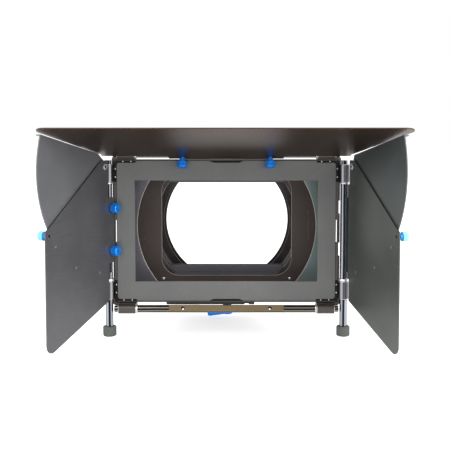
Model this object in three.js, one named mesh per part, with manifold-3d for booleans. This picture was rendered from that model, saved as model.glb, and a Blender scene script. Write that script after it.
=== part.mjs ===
// Rail-mounted matte box with a top flag, two side flags with fan flaps, two filter trays and a rotating
// filter ring. Millimetres, +Z up, the scene in front of the lens lies towards -Y.
// While the pieces are built, X = 0, Z = 0 is the optical axis and Y = 0 is the mask's front face.
// The finished model is moved so that its origin is midway between the two rails, at the clamp's middle.
import * as THREE from 'three';
import { mergeVertices } from 'three/addons/utils/BufferGeometryUtils.js';
import Module from 'manifold-3d';

const wasm = await Module();
wasm.setup();

// Fits between pieces
const TURNING_GAP = 0.2;
const SLIDING_GAP = 0.3;
const CUT_OVERRUN = 5;

// Front frame and mask
const FRAME_WIDTH = 224;
const FRAME_HEIGHT = 143.6;
const FRAME_THICKNESS = 4;
const FRAME_CORNER_RADIUS = 5;
const RECESS_DEPTH = 1.8;
const FRAME_SIDE_LIP = 2.8;
const FRAME_TOP_LIP = 1.15;
const MASK_THICKNESS = 1.5;
const MASK_SIDE_BORDER = 17.8;
const MASK_TOP_BORDER = 19.65;
const MASK_CORNER_RELIEF = 1.8;
const MASK_NOTCH_WIDTH = 34;
const MASK_NOTCH_SLOPE = 4;
const MASK_NOTCH_DEPTH = 1.8;

// Hood tunnel and what stands inside it
const HOOD_SIDE_MARGIN = 5.1;
const HOOD_TOP_MARGIN = 4.4;
const HOOD_WALL = 1.8;
const HOOD_LENGTH = 41;
const HOOD_CORNER_RADIUS = 5;
const BAFFLE_SIDE_DEPTH = 12;
const BAFFLE_THICKNESS = 1.5;
const BAFFLE_BEFORE_WALL = 4.2;
const INNER_WALL_THICKNESS = 2;
const INNER_OPENING_INSIDE_GLASS = 4.2;
const INNER_OPENING_ABOVE_GLASS = 1.95;
const INNER_OPENING_RADIUS = 18;
const WALL_SLIT_FROM_OPENING = 18;
const WALL_SLIT_LENGTH = 32;
const WALL_SLIT_WIDTH = 0.8;

// Filter stage: two slots for trays that hold 4 x 5.65 inch glass
const FILTER_WIDTH = 143.5;
const FILTER_HEIGHT = 101.6;
const FILTER_THICKNESS = 4;
const FILTER_PLAY = 0.9;
const TRAY_RIM = 5.8;
const TRAY_TOP_RIM = 8.8;
const TRAY_THICKNESS = 5;
const TRAY_SIDE_LEDGE = 2.25;
const TRAY_TOP_LEDGE = 6.3;
const TRAY_CLEAR_RADIUS = 3;
const TRAY_TAB_WIDTH = 40;
const TRAY_TAB_HEIGHT = 10;
const TRAY_TAB_TAPER = 4;
const STAGE_SIDE_WALL = 5.6;
const STAGE_FRONT_WALL = 3;
const STAGE_MID_WALL = 2.4;
const STAGE_BACK_WALL = 4.4;
const STAGE_FLOOR = 5.7;
const STAGE_TOP_OVER_TRAY = 3.95;
const STAGE_OPENING_ABOVE_INNER = 4.8;
const STAGE_CORNER_RADIUS = 4;
const STAGE_SCREW_INSIDE_OPENING = 1.3;
const STAGE_SCREW_ABOVE_OPENING = 3.7;
const STAGE_SCREW_RADIUS = 0.9;
const STAGE_SCREW_LENGTH = 2.4;
const STAGE_SCREW_HEAD_RADIUS = 1.6;
const STAGE_SCREW_HEAD_HEIGHT = 0.8;

// Rotating ring, its housing and the lens side
const HOUSING_RADIUS = 82.2;
const HOUSING_WALL = 2.4;
const HOUSING_FLANGE = 2.5;
const HOUSING_LENGTH = 28;
const HOUSING_WINDOW_ANGLE = 44;
const HOUSING_WINDOW_EDGE = 6;
const HOUSING_FLANGE_WIDTH = 6.7;
const RING_WALL = 3.2;
const RING_LIP_WIDTH = 6.7;
const RING_LIP_THICKNESS = 2.5;
const RING_BACK_WALL = 6.5;
const RING_BACK_LENGTH = 5.2;
const RING_GRIP_DEPTH = 0.8;
const RING_GRIPS = 16;
const LENS_OPENING_STEP = 2.1;
const LENS_PLATE_THICKNESS = 2;
const LENS_SEAL_STEP = 0.7;
const LENS_SEAL_WIDTH = 6.8;
const LENS_SEAL_THICKNESS = 4.5;
const FOOT_WIDTH = 44;
const FOOT_HEIGHT = 20;

// Rail clamp and swing-away arm
const RAIL_BELOW_AXIS = 85;
const RAIL_SPACING = 60;
const RAIL_DIAMETER = 15;
const RAIL_CLEARANCE = 0.2;
const CLAMP_GAP = 0.5;
const CLAMP_DEPTH = 24;
const CLAMP_WALL = 2.9;
const CLAMP_SIDE_WALL = 8.3;
const CLAMP_LEFT_EXTRA = 8;
const JAW_HALF_WIDTH = 31;
const JAW_THICKNESS = 5.8;
const JAW_TRAVEL = 0.8;
const JAW_RELIEF_WIDTH = 5;
const JAW_RELIEF_HEIGHT = 1.2;
const JAW_RELIEF_CENTRE = 22;
const ARM_THICKNESS = 4;
const ARM_HEIGHT = 19.2;
const ARM_BELOW_RAILS = 2.8;
const ARM_RIGHT_REACH = 20;
const PIN_RADIUS = 2.9;
const PIN_HEAD_RADIUS = 4.5;
const PIN_HEAD_HEIGHT = 1.8;
const KNUCKLE_RADIUS = 6.5;
const KNUCKLE_HEIGHT = 12.2;
const PIN_FROM_RAIL_X = 32;
const LEVER_HUB_RADIUS = 6;
const LEVER_HUB_HEIGHT = 12.6;
const LEVER_SCREW_RADIUS = 2.5;
const LEVER_SCREW_LENGTH = 18;
const LEVER_LENGTH = 22.5;
const LEVER_WIDTH = 6;
const LEVER_DROP = 15.6;
const LEVER_ROOT_DROP = 12.6;

// Hinge rods and their corner brackets
const ROD_RADIUS = 3.8;
const ROD_FORWARD = 4;
const ROD_SIDE_OFFSET = 4.7;
const ROD_TOP_OFFSET = 5.7;
const ROD_FLAT_HEIGHT = 2.6;
const ROD_TAP_RADIUS = 1.8;
const SLEEVE_WALL = 0.9;
const SLEEVE_LENGTH = 17.8;
const SLEEVE_BELOW_FRAME_TOP = 22.4;
const SLEEVE_INSIDE_FRAME_SIDE = 22;
const COLLAR_RADIUS = 4.8;
const COLLAR_THIN = 1.2;
const COLLAR_THICK = 2.3;
const ROD_END_RADIUS = 3.2;
const ROD_END_LENGTH = 4;
const SIDE_ROD_TAIL = 32.8;
const BRACKET_RIM = 1.6;
const BRACKET_TOP_RIM = 3.1;
const BRACKET_BACK_THICKNESS = 4;
const BRACKET_WEB_FRONT = 3;
const BRACKET_SCREW_RADIUS = 0.7;
const BRACKET_SCREW_HEAD_RADIUS = 0.85;
const BRACKET_SCREW_HEAD_HEIGHT = 1;
const BRACKET_SCREW_FIRST = 4.8;
const BRACKET_SCREW_STEP = 8.2;
const FOOT_CAP_RADIUS = 6.7;
const FOOT_CAP_HEIGHT = 9.9;
const FOOT_CAP_CHAMFER = 1.2;
const FOOT_CAP_GRIP = 5.3;

// Flags
const SHEET_THICKNESS = 1.2;
const SHEET_REAR_EDGE = 5.8;
const TAB_BACK_EDGE = 4.5;
const TOP_FLAG_TILT = 16;
const TOP_FLAG_OVERHANG = 9.7;
const TOP_FLAG_STRAIGHT = 12;
const TOP_FLAG_FLARE = 47.3;
const TOP_FLAG_DEPTH = 109;
const TOP_FLAG_CORNER_RADIUS = 9;
const TOP_TAB_WIDTH = 114;
const TOP_HOLE_SPACING = 86.8;
const BOTTOM_ROD_TILT = 26;
const LEFT_WING_ANGLE = 64.9;
const RIGHT_WING_ANGLE = 71.8;
const WING_LENGTH = 103.9;
const WING_BELOW_FRAME_TOP = 0.1;
const WING_TOP_FLAT_END = 17.3;
const WING_TOP_SLOPE = 58.8;
const WING_ABOVE_FRAME_BOTTOM = 3.6;
const WING_BOTTOM_SLOPE = 31.3;
const WING_CORNER_RADIUS = 8;
const WING_TAB_TOP = 34.5;
const WING_TAB_BOTTOM = 40;
const WING_HOLE_HIGH = 24;
const WING_HOLE_LOW = 18.4;

// Fan flaps on the side flags
const FAN_PIVOT_OUT = 12;
const FAN_PIVOT_BELOW_TOP = 6.2;
const FAN_RADIUS = 101.2;
const FAN_HUB_RADIUS = 6;
const FAN_TOP_RISE = 10.1;
const FAN_TOP_ANGLE = 12;
const FAN_BOTTOM_ANGLE = 43;
const FAN_LIP_WIDTH = 4.8;
const FAN_LIP_THICKNESS = 1;
const FAN_LIP_START = 37;
const EYELET_RADIUS = 1.9;
const EYELET_BORE_RADIUS = 1.2;
const EYELET_RIM_RADIUS = 3;
const EYELET_RIM_HEIGHT = 0.6;
const STUD_RADIUS = 1.2;
const STUD_RIM_GAP = 0.4;
const STUD_HEAD_RADIUS = 3.4;
const STUD_HEAD_HEIGHT = 1;
const STUD_FACE_RADIUS = 1.7;
const STUD_FACE_HEIGHT = 0.5;
const STUD_ANGLES = [40.6, 62.1, 84.4];
const LOCK_ANGLE = 33.3;
const LOCK_SCREW_RADIUS = 1.5;
const LOCK_KNOB_RADIUS = 4.25;
const LOCK_KNOB_LENGTH = 6;
const LOCK_WASHER_HEIGHT = 1.8;

// Thumbscrews
const SCREW_RADIUS = 1.5;
const SCREW_TAIL = 3;
const SCREW_HEAD_RADIUS = 5;
const SCREW_HEAD_LENGTH = 7.1;
const SCREW_HEAD_CHAMFER = 0.7;
const SCREW_NECK_RADIUS = 2.65;
const TOP_SCREW_NECK = 2.6;
const SIDE_SCREW_NECK = 0.4;

// Facets round a full circle, by the size of the circle
const FINE_SEGMENTS = 48;
const ROUND_SEGMENTS = 16;
const SMALL_SEGMENTS = 10;
const TINY_SEGMENTS = 8;

// Places worked out from the sizes above
const FRAME_HALF_W = FRAME_WIDTH / 2;
const FRAME_HALF_H = FRAME_HEIGHT / 2;
const RECESS_HALF_W = FRAME_HALF_W - FRAME_SIDE_LIP;
const RECESS_HALF_H = FRAME_HALF_H - FRAME_TOP_LIP;
const MASK_HALF_W = RECESS_HALF_W - SLIDING_GAP;
const MASK_HALF_H = RECESS_HALF_H - SLIDING_GAP;
const HOOD_HALF_W = FRAME_HALF_W - HOOD_SIDE_MARGIN;
const HOOD_HALF_H = FRAME_HALF_H - HOOD_TOP_MARGIN;
const HOOD_INNER_HALF_W = HOOD_HALF_W - HOOD_WALL;
const HOOD_INNER_HALF_H = HOOD_HALF_H - HOOD_WALL;
const HOOD_BACK_Y = FRAME_THICKNESS + HOOD_LENGTH;
const BAFFLE_BACK_Y = HOOD_BACK_Y - BAFFLE_BEFORE_WALL;
const BAFFLE_RADIUS = HOOD_INNER_HALF_W - BAFFLE_SIDE_DEPTH;
const STAGE_FRONT_Y = HOOD_BACK_Y + INNER_WALL_THICKNESS;
const SLOT_DEPTH = TRAY_THICKNESS + 2 * SLIDING_GAP;
const FRONT_SLOT_Y = STAGE_FRONT_Y + STAGE_FRONT_WALL;
const REAR_SLOT_Y = FRONT_SLOT_Y + SLOT_DEPTH + STAGE_MID_WALL;
const STAGE_BACK_Y = REAR_SLOT_Y + SLOT_DEPTH + STAGE_BACK_WALL;
const GLASS_POCKET_HALF_W = (FILTER_WIDTH + FILTER_PLAY) / 2;
const GLASS_POCKET_HALF_H = (FILTER_HEIGHT + FILTER_PLAY) / 2;
const INNER_OPENING_HALF_W = GLASS_POCKET_HALF_W - INNER_OPENING_INSIDE_GLASS;
const INNER_OPENING_HALF_H = GLASS_POCKET_HALF_H + INNER_OPENING_ABOVE_GLASS;
const STAGE_OPENING_HALF_H = INNER_OPENING_HALF_H + STAGE_OPENING_ABOVE_INNER;
const TRAY_HALF_W = GLASS_POCKET_HALF_W + TRAY_RIM;
const TRAY_BOTTOM_Z = -GLASS_POCKET_HALF_H - TRAY_RIM;
const TRAY_TOP_Z = GLASS_POCKET_HALF_H + TRAY_TOP_RIM;
const STAGE_TOP_Z = TRAY_TOP_Z + STAGE_TOP_OVER_TRAY;
const TRAY_CLEAR_HALF_W = FILTER_WIDTH / 2 - TRAY_SIDE_LEDGE;
const TRAY_CLEAR_HALF_H = FILTER_HEIGHT / 2 - TRAY_TOP_LEDGE;
const SLOT_HALF_W = TRAY_HALF_W + SLIDING_GAP;
const SLOT_FLOOR_Z = TRAY_BOTTOM_Z - SLIDING_GAP;
const STAGE_HALF_W = SLOT_HALF_W + STAGE_SIDE_WALL;
const STAGE_BOTTOM_Z = SLOT_FLOOR_Z - STAGE_FLOOR;
const STAGE_OPENING_RADIUS = HOUSING_RADIUS - HOUSING_FLANGE_WIDTH;
const HOUSING_INNER_RADIUS = HOUSING_RADIUS - HOUSING_WALL;
const HOUSING_BACK_Y = STAGE_BACK_Y + HOUSING_LENGTH;
const RING_OUTER_RADIUS = HOUSING_INNER_RADIUS - SLIDING_GAP;
const RING_SEAT_RADIUS = RING_OUTER_RADIUS - RING_WALL;
const RING_LIP_RADIUS = RING_SEAT_RADIUS - RING_LIP_WIDTH;
const RING_BACK_RADIUS = RING_OUTER_RADIUS - RING_BACK_WALL;
const LENS_OPENING_RADIUS = RING_LIP_RADIUS - LENS_OPENING_STEP;
const LENS_SEAL_INNER_RADIUS = LENS_OPENING_RADIUS + LENS_SEAL_STEP;
const LENS_SEAL_OUTER_RADIUS = LENS_SEAL_INNER_RADIUS + LENS_SEAL_WIDTH;
const RING_FRONT_Y = STAGE_BACK_Y + HOUSING_FLANGE + SLIDING_GAP;
const RING_BACK_Y = HOUSING_BACK_Y - SLIDING_GAP;
const LENS_PLATE_BACK_Y = HOUSING_BACK_Y + LENS_PLATE_THICKNESS;
const ARM_BACK_Y = LENS_PLATE_BACK_Y + ARM_THICKNESS;
const CLAMP_FRONT_Y = ARM_BACK_Y + CLAMP_GAP;
const CLAMP_MID_Y = CLAMP_FRONT_Y + CLAMP_DEPTH / 2;
const RAIL_BORE_RADIUS = RAIL_DIAMETER / 2 + RAIL_CLEARANCE;
const RAIL_HALF_SPACING = RAIL_SPACING / 2;
const CLAMP_TOP_Z = -RAIL_BELOW_AXIS + RAIL_BORE_RADIUS + CLAMP_WALL;
const CLAMP_BOTTOM_Z = -RAIL_BELOW_AXIS - RAIL_BORE_RADIUS - CLAMP_WALL;
const CLAMP_HALF_W = RAIL_HALF_SPACING + RAIL_BORE_RADIUS + CLAMP_SIDE_WALL;
const CLAMP_LEFT_X = -CLAMP_HALF_W - CLAMP_LEFT_EXTRA;
const PIN_X = -RAIL_HALF_SPACING - PIN_FROM_RAIL_X;
const PIN_Y = CLAMP_FRONT_Y + KNUCKLE_RADIUS;
const JAW_BOTTOM_Z = CLAMP_BOTTOM_Z - (JAW_THICKNESS - CLAMP_WALL);
const KNUCKLE_MID_Z = -RAIL_BELOW_AXIS;
const KNUCKLE_TOP_Z = KNUCKLE_MID_Z + KNUCKLE_HEIGHT / 2;
const KNUCKLE_BOTTOM_Z = KNUCKLE_MID_Z - KNUCKLE_HEIGHT / 2;
const ARM_TOP_Z = -RAIL_BELOW_AXIS + ARM_HEIGHT / 2 - ARM_BELOW_RAILS;
const ARM_BOTTOM_Z = ARM_TOP_Z - ARM_HEIGHT;
const SLEEVE_BORE_RADIUS = ROD_RADIUS + TURNING_GAP;
const SLEEVE_RADIUS = SLEEVE_BORE_RADIUS + SLEEVE_WALL;
const SLEEVE_SIDE_START = FRAME_HALF_H - SLEEVE_BELOW_FRAME_TOP;
const SLEEVE_TOP_START = FRAME_HALF_W - SLEEVE_INSIDE_FRAME_SIDE;
const SLEEVE_SIDE_END = SLEEVE_SIDE_START + SLEEVE_LENGTH;
const SLEEVE_TOP_END = SLEEVE_TOP_START + SLEEVE_LENGTH;
const SIDE_ROD_X = FRAME_HALF_W + ROD_SIDE_OFFSET;
const TOP_ROD_Z = FRAME_HALF_H + ROD_TOP_OFFSET;
const BRACKET_HALF_W = FRAME_HALF_W + SLIDING_GAP + BRACKET_RIM;
const BRACKET_HALF_H = FRAME_HALF_H + SLIDING_GAP + BRACKET_TOP_RIM;
const BRACKET_BACK_Y = FRAME_THICKNESS + BRACKET_BACK_THICKNESS;
const SHEET_FACE = ROD_FLAT_HEIGHT + SHEET_THICKNESS;
const TOP_FLAG_REAR_HALF_W = FRAME_HALF_W + TOP_FLAG_OVERHANG;
const WING_TOP = FRAME_HALF_H - WING_BELOW_FRAME_TOP;
const WING_OUTER_TOP = WING_TOP - WING_TOP_SLOPE;
const WING_REAR_BOTTOM = FRAME_HALF_H - WING_ABOVE_FRAME_BOTTOM;
const WING_OUTER_BOTTOM = WING_REAR_BOTTOM + WING_BOTTOM_SLOPE;
const FAN_PIVOT_UP = WING_TOP - FAN_PIVOT_BELOW_TOP;
const FAN_GAP = SLIDING_GAP;
const STUD_ARC_RADIUS = FAN_RADIUS + STUD_RIM_GAP + STUD_RADIUS;
const LOCK_ARC_RADIUS = FAN_RADIUS + STUD_RIM_GAP + LOCK_SCREW_RADIUS;

const radians = THREE.MathUtils.degToRad;

// Finishes: painted and anodised aluminium, turned steel, blue anodised screws, rubber
const FINISHES = {
  frame: { color: 0x3b3a39, roughness: 0.5, metalness: 0.6 },
  mask: { color: 0x6f716e, roughness: 0.5, metalness: 0.5 },
  hood: { color: 0x2a2827, roughness: 0.8, metalness: 0.1 },
  inner: { color: 0x453a38, roughness: 0.7, metalness: 0.2 },
  flag: { color: 0x4b4744, roughness: 0.45, metalness: 0.5 },
  wing: { color: 0x636463, roughness: 0.5, metalness: 0.5 },
  rod: { color: 0x70767a, roughness: 0.25, metalness: 1 },
  bracket: { color: 0x55514e, roughness: 0.4, metalness: 0.8 },
  blue: { color: 0x2568d8, roughness: 0.35, metalness: 0.7 },
  steel: { color: 0xb9bcc0, roughness: 0.3, metalness: 1 },
  rubber: { color: 0x5d655f, roughness: 0.8, metalness: 0 },
  black: { color: 0x1d1d1e, roughness: 0.5, metalness: 0.4 },
};

// A closed geometry as a solid that can be joined and cut; an inside-out one is turned the right way
function solid(geometry) {
  const bare = geometry.index ? geometry.toNonIndexed() : geometry.clone();
  bare.deleteAttribute('normal');
  bare.deleteAttribute('uv');
  const merged = mergeVertices(bare);
  const vertices = merged.attributes.position.array;
  const triangles = new Uint32Array(merged.index.array);
  if (signedVolume(vertices, triangles) < 0) {
    for (let i = 0; i < triangles.length; i += 3) {
      [triangles[i], triangles[i + 1]] = [triangles[i + 1], triangles[i]];
    }
  }
  return new wasm.Manifold(new wasm.Mesh({
    numProp: 3,
    vertProperties: new Float32Array(vertices),
    triVerts: triangles,
  }));
}

function signedVolume(vertices, triangles) {
  const corner = (i) => new THREE.Vector3().fromArray(vertices, 3 * triangles[i]);
  let sum = 0;
  for (let i = 0; i < triangles.length; i += 3) {
    sum += corner(i).dot(corner(i + 1).cross(corner(i + 2)));
  }
  return sum / 6;
}

function toGeometry(body) {
  const mesh = body.getMesh();
  const geometry = new THREE.BufferGeometry();
  geometry.setAttribute('position', new THREE.BufferAttribute(new Float32Array(mesh.vertProperties), 3));
  geometry.setIndex(new THREE.BufferAttribute(new Uint32Array(mesh.triVerts), 1));
  geometry.computeVertexNormals();
  return geometry;
}

const joined = (bodies) => bodies.reduce((sum, body) => sum.add(body));
const cut = (body, tools) => tools.reduce((rest, tool) => rest.subtract(tool), body);

function box(x0, x1, y0, y1, z0, z1) {
  const geometry = new THREE.BoxGeometry(x1 - x0, y1 - y0, z1 - z0);
  geometry.translate((x0 + x1) / 2, (y0 + y1) / 2, (z0 + z1) / 2);
  return solid(geometry);
}

// An outline drawn in X and Z, given thickness from y0 to y1
function plate(shape, y0, y1, segments = SMALL_SEGMENTS) {
  const geometry = new THREE.ExtrudeGeometry(shape, {
    depth: y1 - y0,
    bevelEnabled: false,
    curveSegments: segments,
  });
  geometry.rotateX(Math.PI / 2);
  geometry.translate(0, y1, 0);
  return solid(geometry);
}

// A profile of [radius, place] pairs turned about Y
function turnedY(profile, segments = ROUND_SEGMENTS) {
  return solid(new THREE.LatheGeometry(profile.map(([r, y]) => new THREE.Vector2(r, y)), segments));
}

function turnedZ(profile, segments = ROUND_SEGMENTS) {
  const geometry = new THREE.LatheGeometry(profile.map(([r, z]) => new THREE.Vector2(r, z)), segments);
  geometry.rotateX(Math.PI / 2);
  return solid(geometry);
}

const shaft = (radius, from, to) => [[0, from], [radius, from], [radius, to], [0, to]];

function pinY(radius, x, z, y0, y1, segments = SMALL_SEGMENTS) {
  return turnedY(shaft(radius, y0, y1), segments).translate([x, 0, z]);
}

function pinZ(radius, x, y, z0, z1, segments = SMALL_SEGMENTS) {
  return turnedZ(shaft(radius, z0, z1), segments).translate([x, y, 0]);
}

function washer(inner, outer, y0, y1, segments) {
  return turnedY([[inner, y0], [outer, y0], [outer, y1], [inner, y1], [inner, y0]], segments);
}

function outline(points) {
  return new THREE.Shape(points.map(([x, z]) => new THREE.Vector2(x, z)));
}

function roundedOutline(halfW, halfH, radius, Kind = THREE.Shape) {
  const path = new Kind();
  path.moveTo(halfW, -halfH + radius);
  path.absarc(halfW - radius, halfH - radius, radius, 0, Math.PI / 2, false);
  path.absarc(-halfW + radius, halfH - radius, radius, Math.PI / 2, Math.PI, false);
  path.absarc(-halfW + radius, -halfH + radius, radius, Math.PI, 1.5 * Math.PI, false);
  path.absarc(halfW - radius, -halfH + radius, radius, 1.5 * Math.PI, 2 * Math.PI, false);
  path.closePath();
  return path;
}

const EACH_CORNER = [
  { name: 'top_left', sx: -1, sz: 1 },
  { name: 'top_right', sx: 1, sz: 1 },
  { name: 'bottom_left', sx: -1, sz: -1 },
  { name: 'bottom_right', sx: 1, sz: -1 },
];

// A range along one axis that is mirrored with the sign of the corner
const span = (sign, from, to) => (sign > 0 ? [from, to] : [-to, -from]);

// Places of the four small screws of one corner bracket: two up the side, two along the top or bottom
function bracketScrews({ sx, sz }) {
  const sideX = (RECESS_HALF_W + FRAME_HALF_W - SLIDING_GAP) / 2;
  const topZ = RECESS_HALF_H - BRACKET_SCREW_HEAD_RADIUS - TURNING_GAP / 2;
  const screws = [];
  for (let i = 0; i < 2; i += 1) {
    screws.push([sx * sideX, sz * (SLEEVE_SIDE_START + BRACKET_SCREW_FIRST + i * BRACKET_SCREW_STEP)]);
    screws.push([sx * (SLEEVE_TOP_START + BRACKET_SCREW_FIRST + i * BRACKET_SCREW_STEP), sz * topZ]);
  }
  return screws;
}

// Bezel with a recess for the mask, slots at its corners and holes for the bracket screws
function frontFrame() {
  const base = roundedOutline(FRAME_HALF_W, FRAME_HALF_H, FRAME_CORNER_RADIUS);
  base.holes.push(roundedOutline(HOOD_INNER_HALF_W, HOOD_INNER_HALF_H, HOOD_WALL, THREE.Path));
  const lip = roundedOutline(FRAME_HALF_W, FRAME_HALF_H, FRAME_CORNER_RADIUS);
  lip.holes.push(roundedOutline(RECESS_HALF_W, RECESS_HALF_H, SLIDING_GAP, THREE.Path));
  const body = joined([plate(base, RECESS_DEPTH, FRAME_THICKNESS, 3), plate(lip, 0, RECESS_DEPTH, 3)]);
  const tools = [];
  for (const corner of EACH_CORNER) {
    const x = span(corner.sx, MASK_HALF_W, FRAME_HALF_W - SLIDING_GAP);
    const z = span(corner.sz, SLEEVE_SIDE_START, RECESS_HALF_H);
    tools.push(box(x[0], x[1], -CUT_OVERRUN, RECESS_DEPTH, z[0], z[1]));
    for (const [sx, sz] of bracketScrews(corner)) {
      const radius = BRACKET_SCREW_RADIUS + TURNING_GAP;
      tools.push(pinY(radius, sx, sz, 0, FRAME_THICKNESS + CUT_OVERRUN, TINY_SEGMENTS));
    }
  }
  return cut(body, tools);
}

// Removable mask: 16:9 opening, relieved corners, shallow finger notches top and bottom
function maskPlate() {
  const relief = MASK_HALF_H - MASK_CORNER_RELIEF;
  const reliefX = SLEEVE_TOP_START;
  const notch = MASK_NOTCH_WIDTH / 2;
  const quarter = [
    [MASK_HALF_W, 0],
    [MASK_HALF_W, relief],
    [reliefX, relief],
    [reliefX, MASK_HALF_H],
    [notch, MASK_HALF_H],
    [notch - MASK_NOTCH_SLOPE, MASK_HALF_H - MASK_NOTCH_DEPTH],
  ];
  const topLeft = quarter.slice(1).map(([x, z]) => [-x, z]).reverse();
  const bottomLeft = quarter.map(([x, z]) => [-x, -z]);
  const bottomRight = quarter.slice(1).map(([x, z]) => [x, -z]).reverse();
  const shape = outline([...quarter, ...topLeft, ...bottomLeft, ...bottomRight]);
  const openingW = MASK_HALF_W - MASK_SIDE_BORDER;
  const openingH = MASK_HALF_H - MASK_TOP_BORDER;
  shape.holes.push(roundedOutline(openingW, openingH, TURNING_GAP, THREE.Path));
  return plate(shape, 0, MASK_THICKNESS, 2);
}

function hoodShell() {
  const shape = roundedOutline(HOOD_HALF_W, HOOD_HALF_H, HOOD_CORNER_RADIUS);
  const inner = HOOD_CORNER_RADIUS - HOOD_WALL;
  shape.holes.push(roundedOutline(HOOD_INNER_HALF_W, HOOD_INNER_HALF_H, inner, THREE.Path));
  return plate(shape, FRAME_THICKNESS, HOOD_BACK_Y, 3);
}

// One of the two crescents that leave a round aperture inside the hood
function roundBaffle(side) {
  const halfW = HOOD_INNER_HALF_W - SLIDING_GAP;
  const halfH = HOOD_INNER_HALF_H - SLIDING_GAP;
  const front = BAFFLE_BACK_Y - BAFFLE_THICKNESS;
  const shape = roundedOutline(halfW, halfH, HOOD_CORNER_RADIUS - HOOD_WALL);
  const whole = plate(shape, front, BAFFLE_BACK_Y, 3);
  const hole = pinY(BAFFLE_RADIUS, 0, 0, front - CUT_OVERRUN, BAFFLE_BACK_Y + CUT_OVERRUN, FINE_SEGMENTS);
  const x = span(side, 0, FRAME_WIDTH);
  const half = box(x[0], x[1], 0, HOOD_BACK_Y, -FRAME_HEIGHT, FRAME_HEIGHT);
  return whole.subtract(hole).intersect(half);
}

function stageScrewPlaces() {
  const places = [];
  for (const { name, sx, sz } of EACH_CORNER) {
    places.push({
      name,
      x: sx * (INNER_OPENING_HALF_W - STAGE_SCREW_INSIDE_OPENING),
      z: sz * (INNER_OPENING_HALF_H + STAGE_SCREW_ABOVE_OPENING),
    });
  }
  return places;
}

// Wall at the back of the hood with the rounded opening and two fine slits
function innerWallPlate() {
  const shape = roundedOutline(HOOD_HALF_W, HOOD_HALF_H, HOOD_CORNER_RADIUS);
  const halfW = INNER_OPENING_HALF_W;
  const halfH = INNER_OPENING_HALF_H;
  const opening = roundedOutline(halfW, halfH, INNER_OPENING_RADIUS, THREE.Path);
  shape.holes.push(opening);
  const body = plate(shape, HOOD_BACK_Y, STAGE_FRONT_Y, 5);
  const slitX = INNER_OPENING_HALF_W + WALL_SLIT_FROM_OPENING;
  const tools = [-1, 1].map((side) => box(
    side * slitX - WALL_SLIT_WIDTH / 2,
    side * slitX + WALL_SLIT_WIDTH / 2,
    0,
    STAGE_FRONT_Y + CUT_OVERRUN,
    -WALL_SLIT_LENGTH / 2,
    WALL_SLIT_LENGTH / 2,
  ));
  for (const { x, z } of stageScrewPlaces()) {
    tools.push(pinY(STAGE_SCREW_RADIUS + TURNING_GAP, x, z, 0, STAGE_FRONT_Y + CUT_OVERRUN));
  }
  return cut(body, tools);
}

function stageScrew() {
  const head = HOOD_BACK_Y - STAGE_SCREW_HEAD_HEIGHT;
  const tip = STAGE_FRONT_Y + STAGE_SCREW_LENGTH;
  return turnedY([
    [0, head],
    [STAGE_SCREW_HEAD_RADIUS - STAGE_SCREW_HEAD_HEIGHT / 2, head],
    [STAGE_SCREW_HEAD_RADIUS, HOOD_BACK_Y],
    [STAGE_SCREW_RADIUS, HOOD_BACK_Y],
    [STAGE_SCREW_RADIUS, tip],
    [0, tip],
  ], TINY_SEGMENTS);
}

// Housing with two tray slots that open upwards
function stageFrame() {
  const mid = (STAGE_TOP_Z + STAGE_BOTTOM_Z) / 2;
  const halfH = (STAGE_TOP_Z - STAGE_BOTTOM_Z) / 2;
  const shape = roundedOutline(STAGE_HALF_W, halfH, STAGE_CORNER_RADIUS);
  const body = plate(shape, STAGE_FRONT_Y, STAGE_BACK_Y, 4).translate([0, 0, mid]);
  const y0 = STAGE_FRONT_Y - CUT_OVERRUN;
  const y1 = STAGE_BACK_Y + CUT_OVERRUN;
  const bore = pinY(STAGE_OPENING_RADIUS, 0, 0, y0, y1, FINE_SEGMENTS)
    .intersect(box(-FRAME_WIDTH, FRAME_WIDTH, y0, y1, -STAGE_OPENING_HALF_H, STAGE_OPENING_HALF_H));
  const top = STAGE_TOP_Z + CUT_OVERRUN;
  const tools = [bore];
  for (const y of [FRONT_SLOT_Y, REAR_SLOT_Y]) {
    tools.push(box(-SLOT_HALF_W, SLOT_HALF_W, y, y + SLOT_DEPTH, SLOT_FLOOR_Z, top));
  }
  for (const { x, z } of stageScrewPlaces()) {
    tools.push(pinY(STAGE_SCREW_RADIUS + TURNING_GAP, x, z, y0, STAGE_FRONT_Y + STAGE_FRONT_WALL));
  }
  return cut(body, tools);
}

// Tray for one filter: frame, glass pocket open to the front, finger tab on top
function filterTray(slotY) {
  const y0 = slotY + SLIDING_GAP;
  const y1 = y0 + TRAY_THICKNESS;
  const tab = TRAY_TAB_WIDTH / 2;
  const tabTop = TRAY_TOP_Z + TRAY_TAB_HEIGHT;
  const body = plate(outline([
    [-TRAY_HALF_W, TRAY_BOTTOM_Z],
    [TRAY_HALF_W, TRAY_BOTTOM_Z],
    [TRAY_HALF_W, TRAY_TOP_Z],
    [tab, TRAY_TOP_Z],
    [tab - TRAY_TAB_TAPER, tabTop],
    [-tab + TRAY_TAB_TAPER, tabTop],
    [-tab, TRAY_TOP_Z],
    [-TRAY_HALF_W, TRAY_TOP_Z],
  ]), y0, y1);
  const clear = roundedOutline(TRAY_CLEAR_HALF_W, TRAY_CLEAR_HALF_H, TRAY_CLEAR_RADIUS);
  const pocket = box(
    -GLASS_POCKET_HALF_W,
    GLASS_POCKET_HALF_W,
    y0 - CUT_OVERRUN,
    y0 + FILTER_THICKNESS,
    -GLASS_POCKET_HALF_H,
    GLASS_POCKET_HALF_H,
  );
  return cut(body, [plate(clear, y0 - CUT_OVERRUN, y1 + CUT_OVERRUN, 4), pocket]);
}

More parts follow.
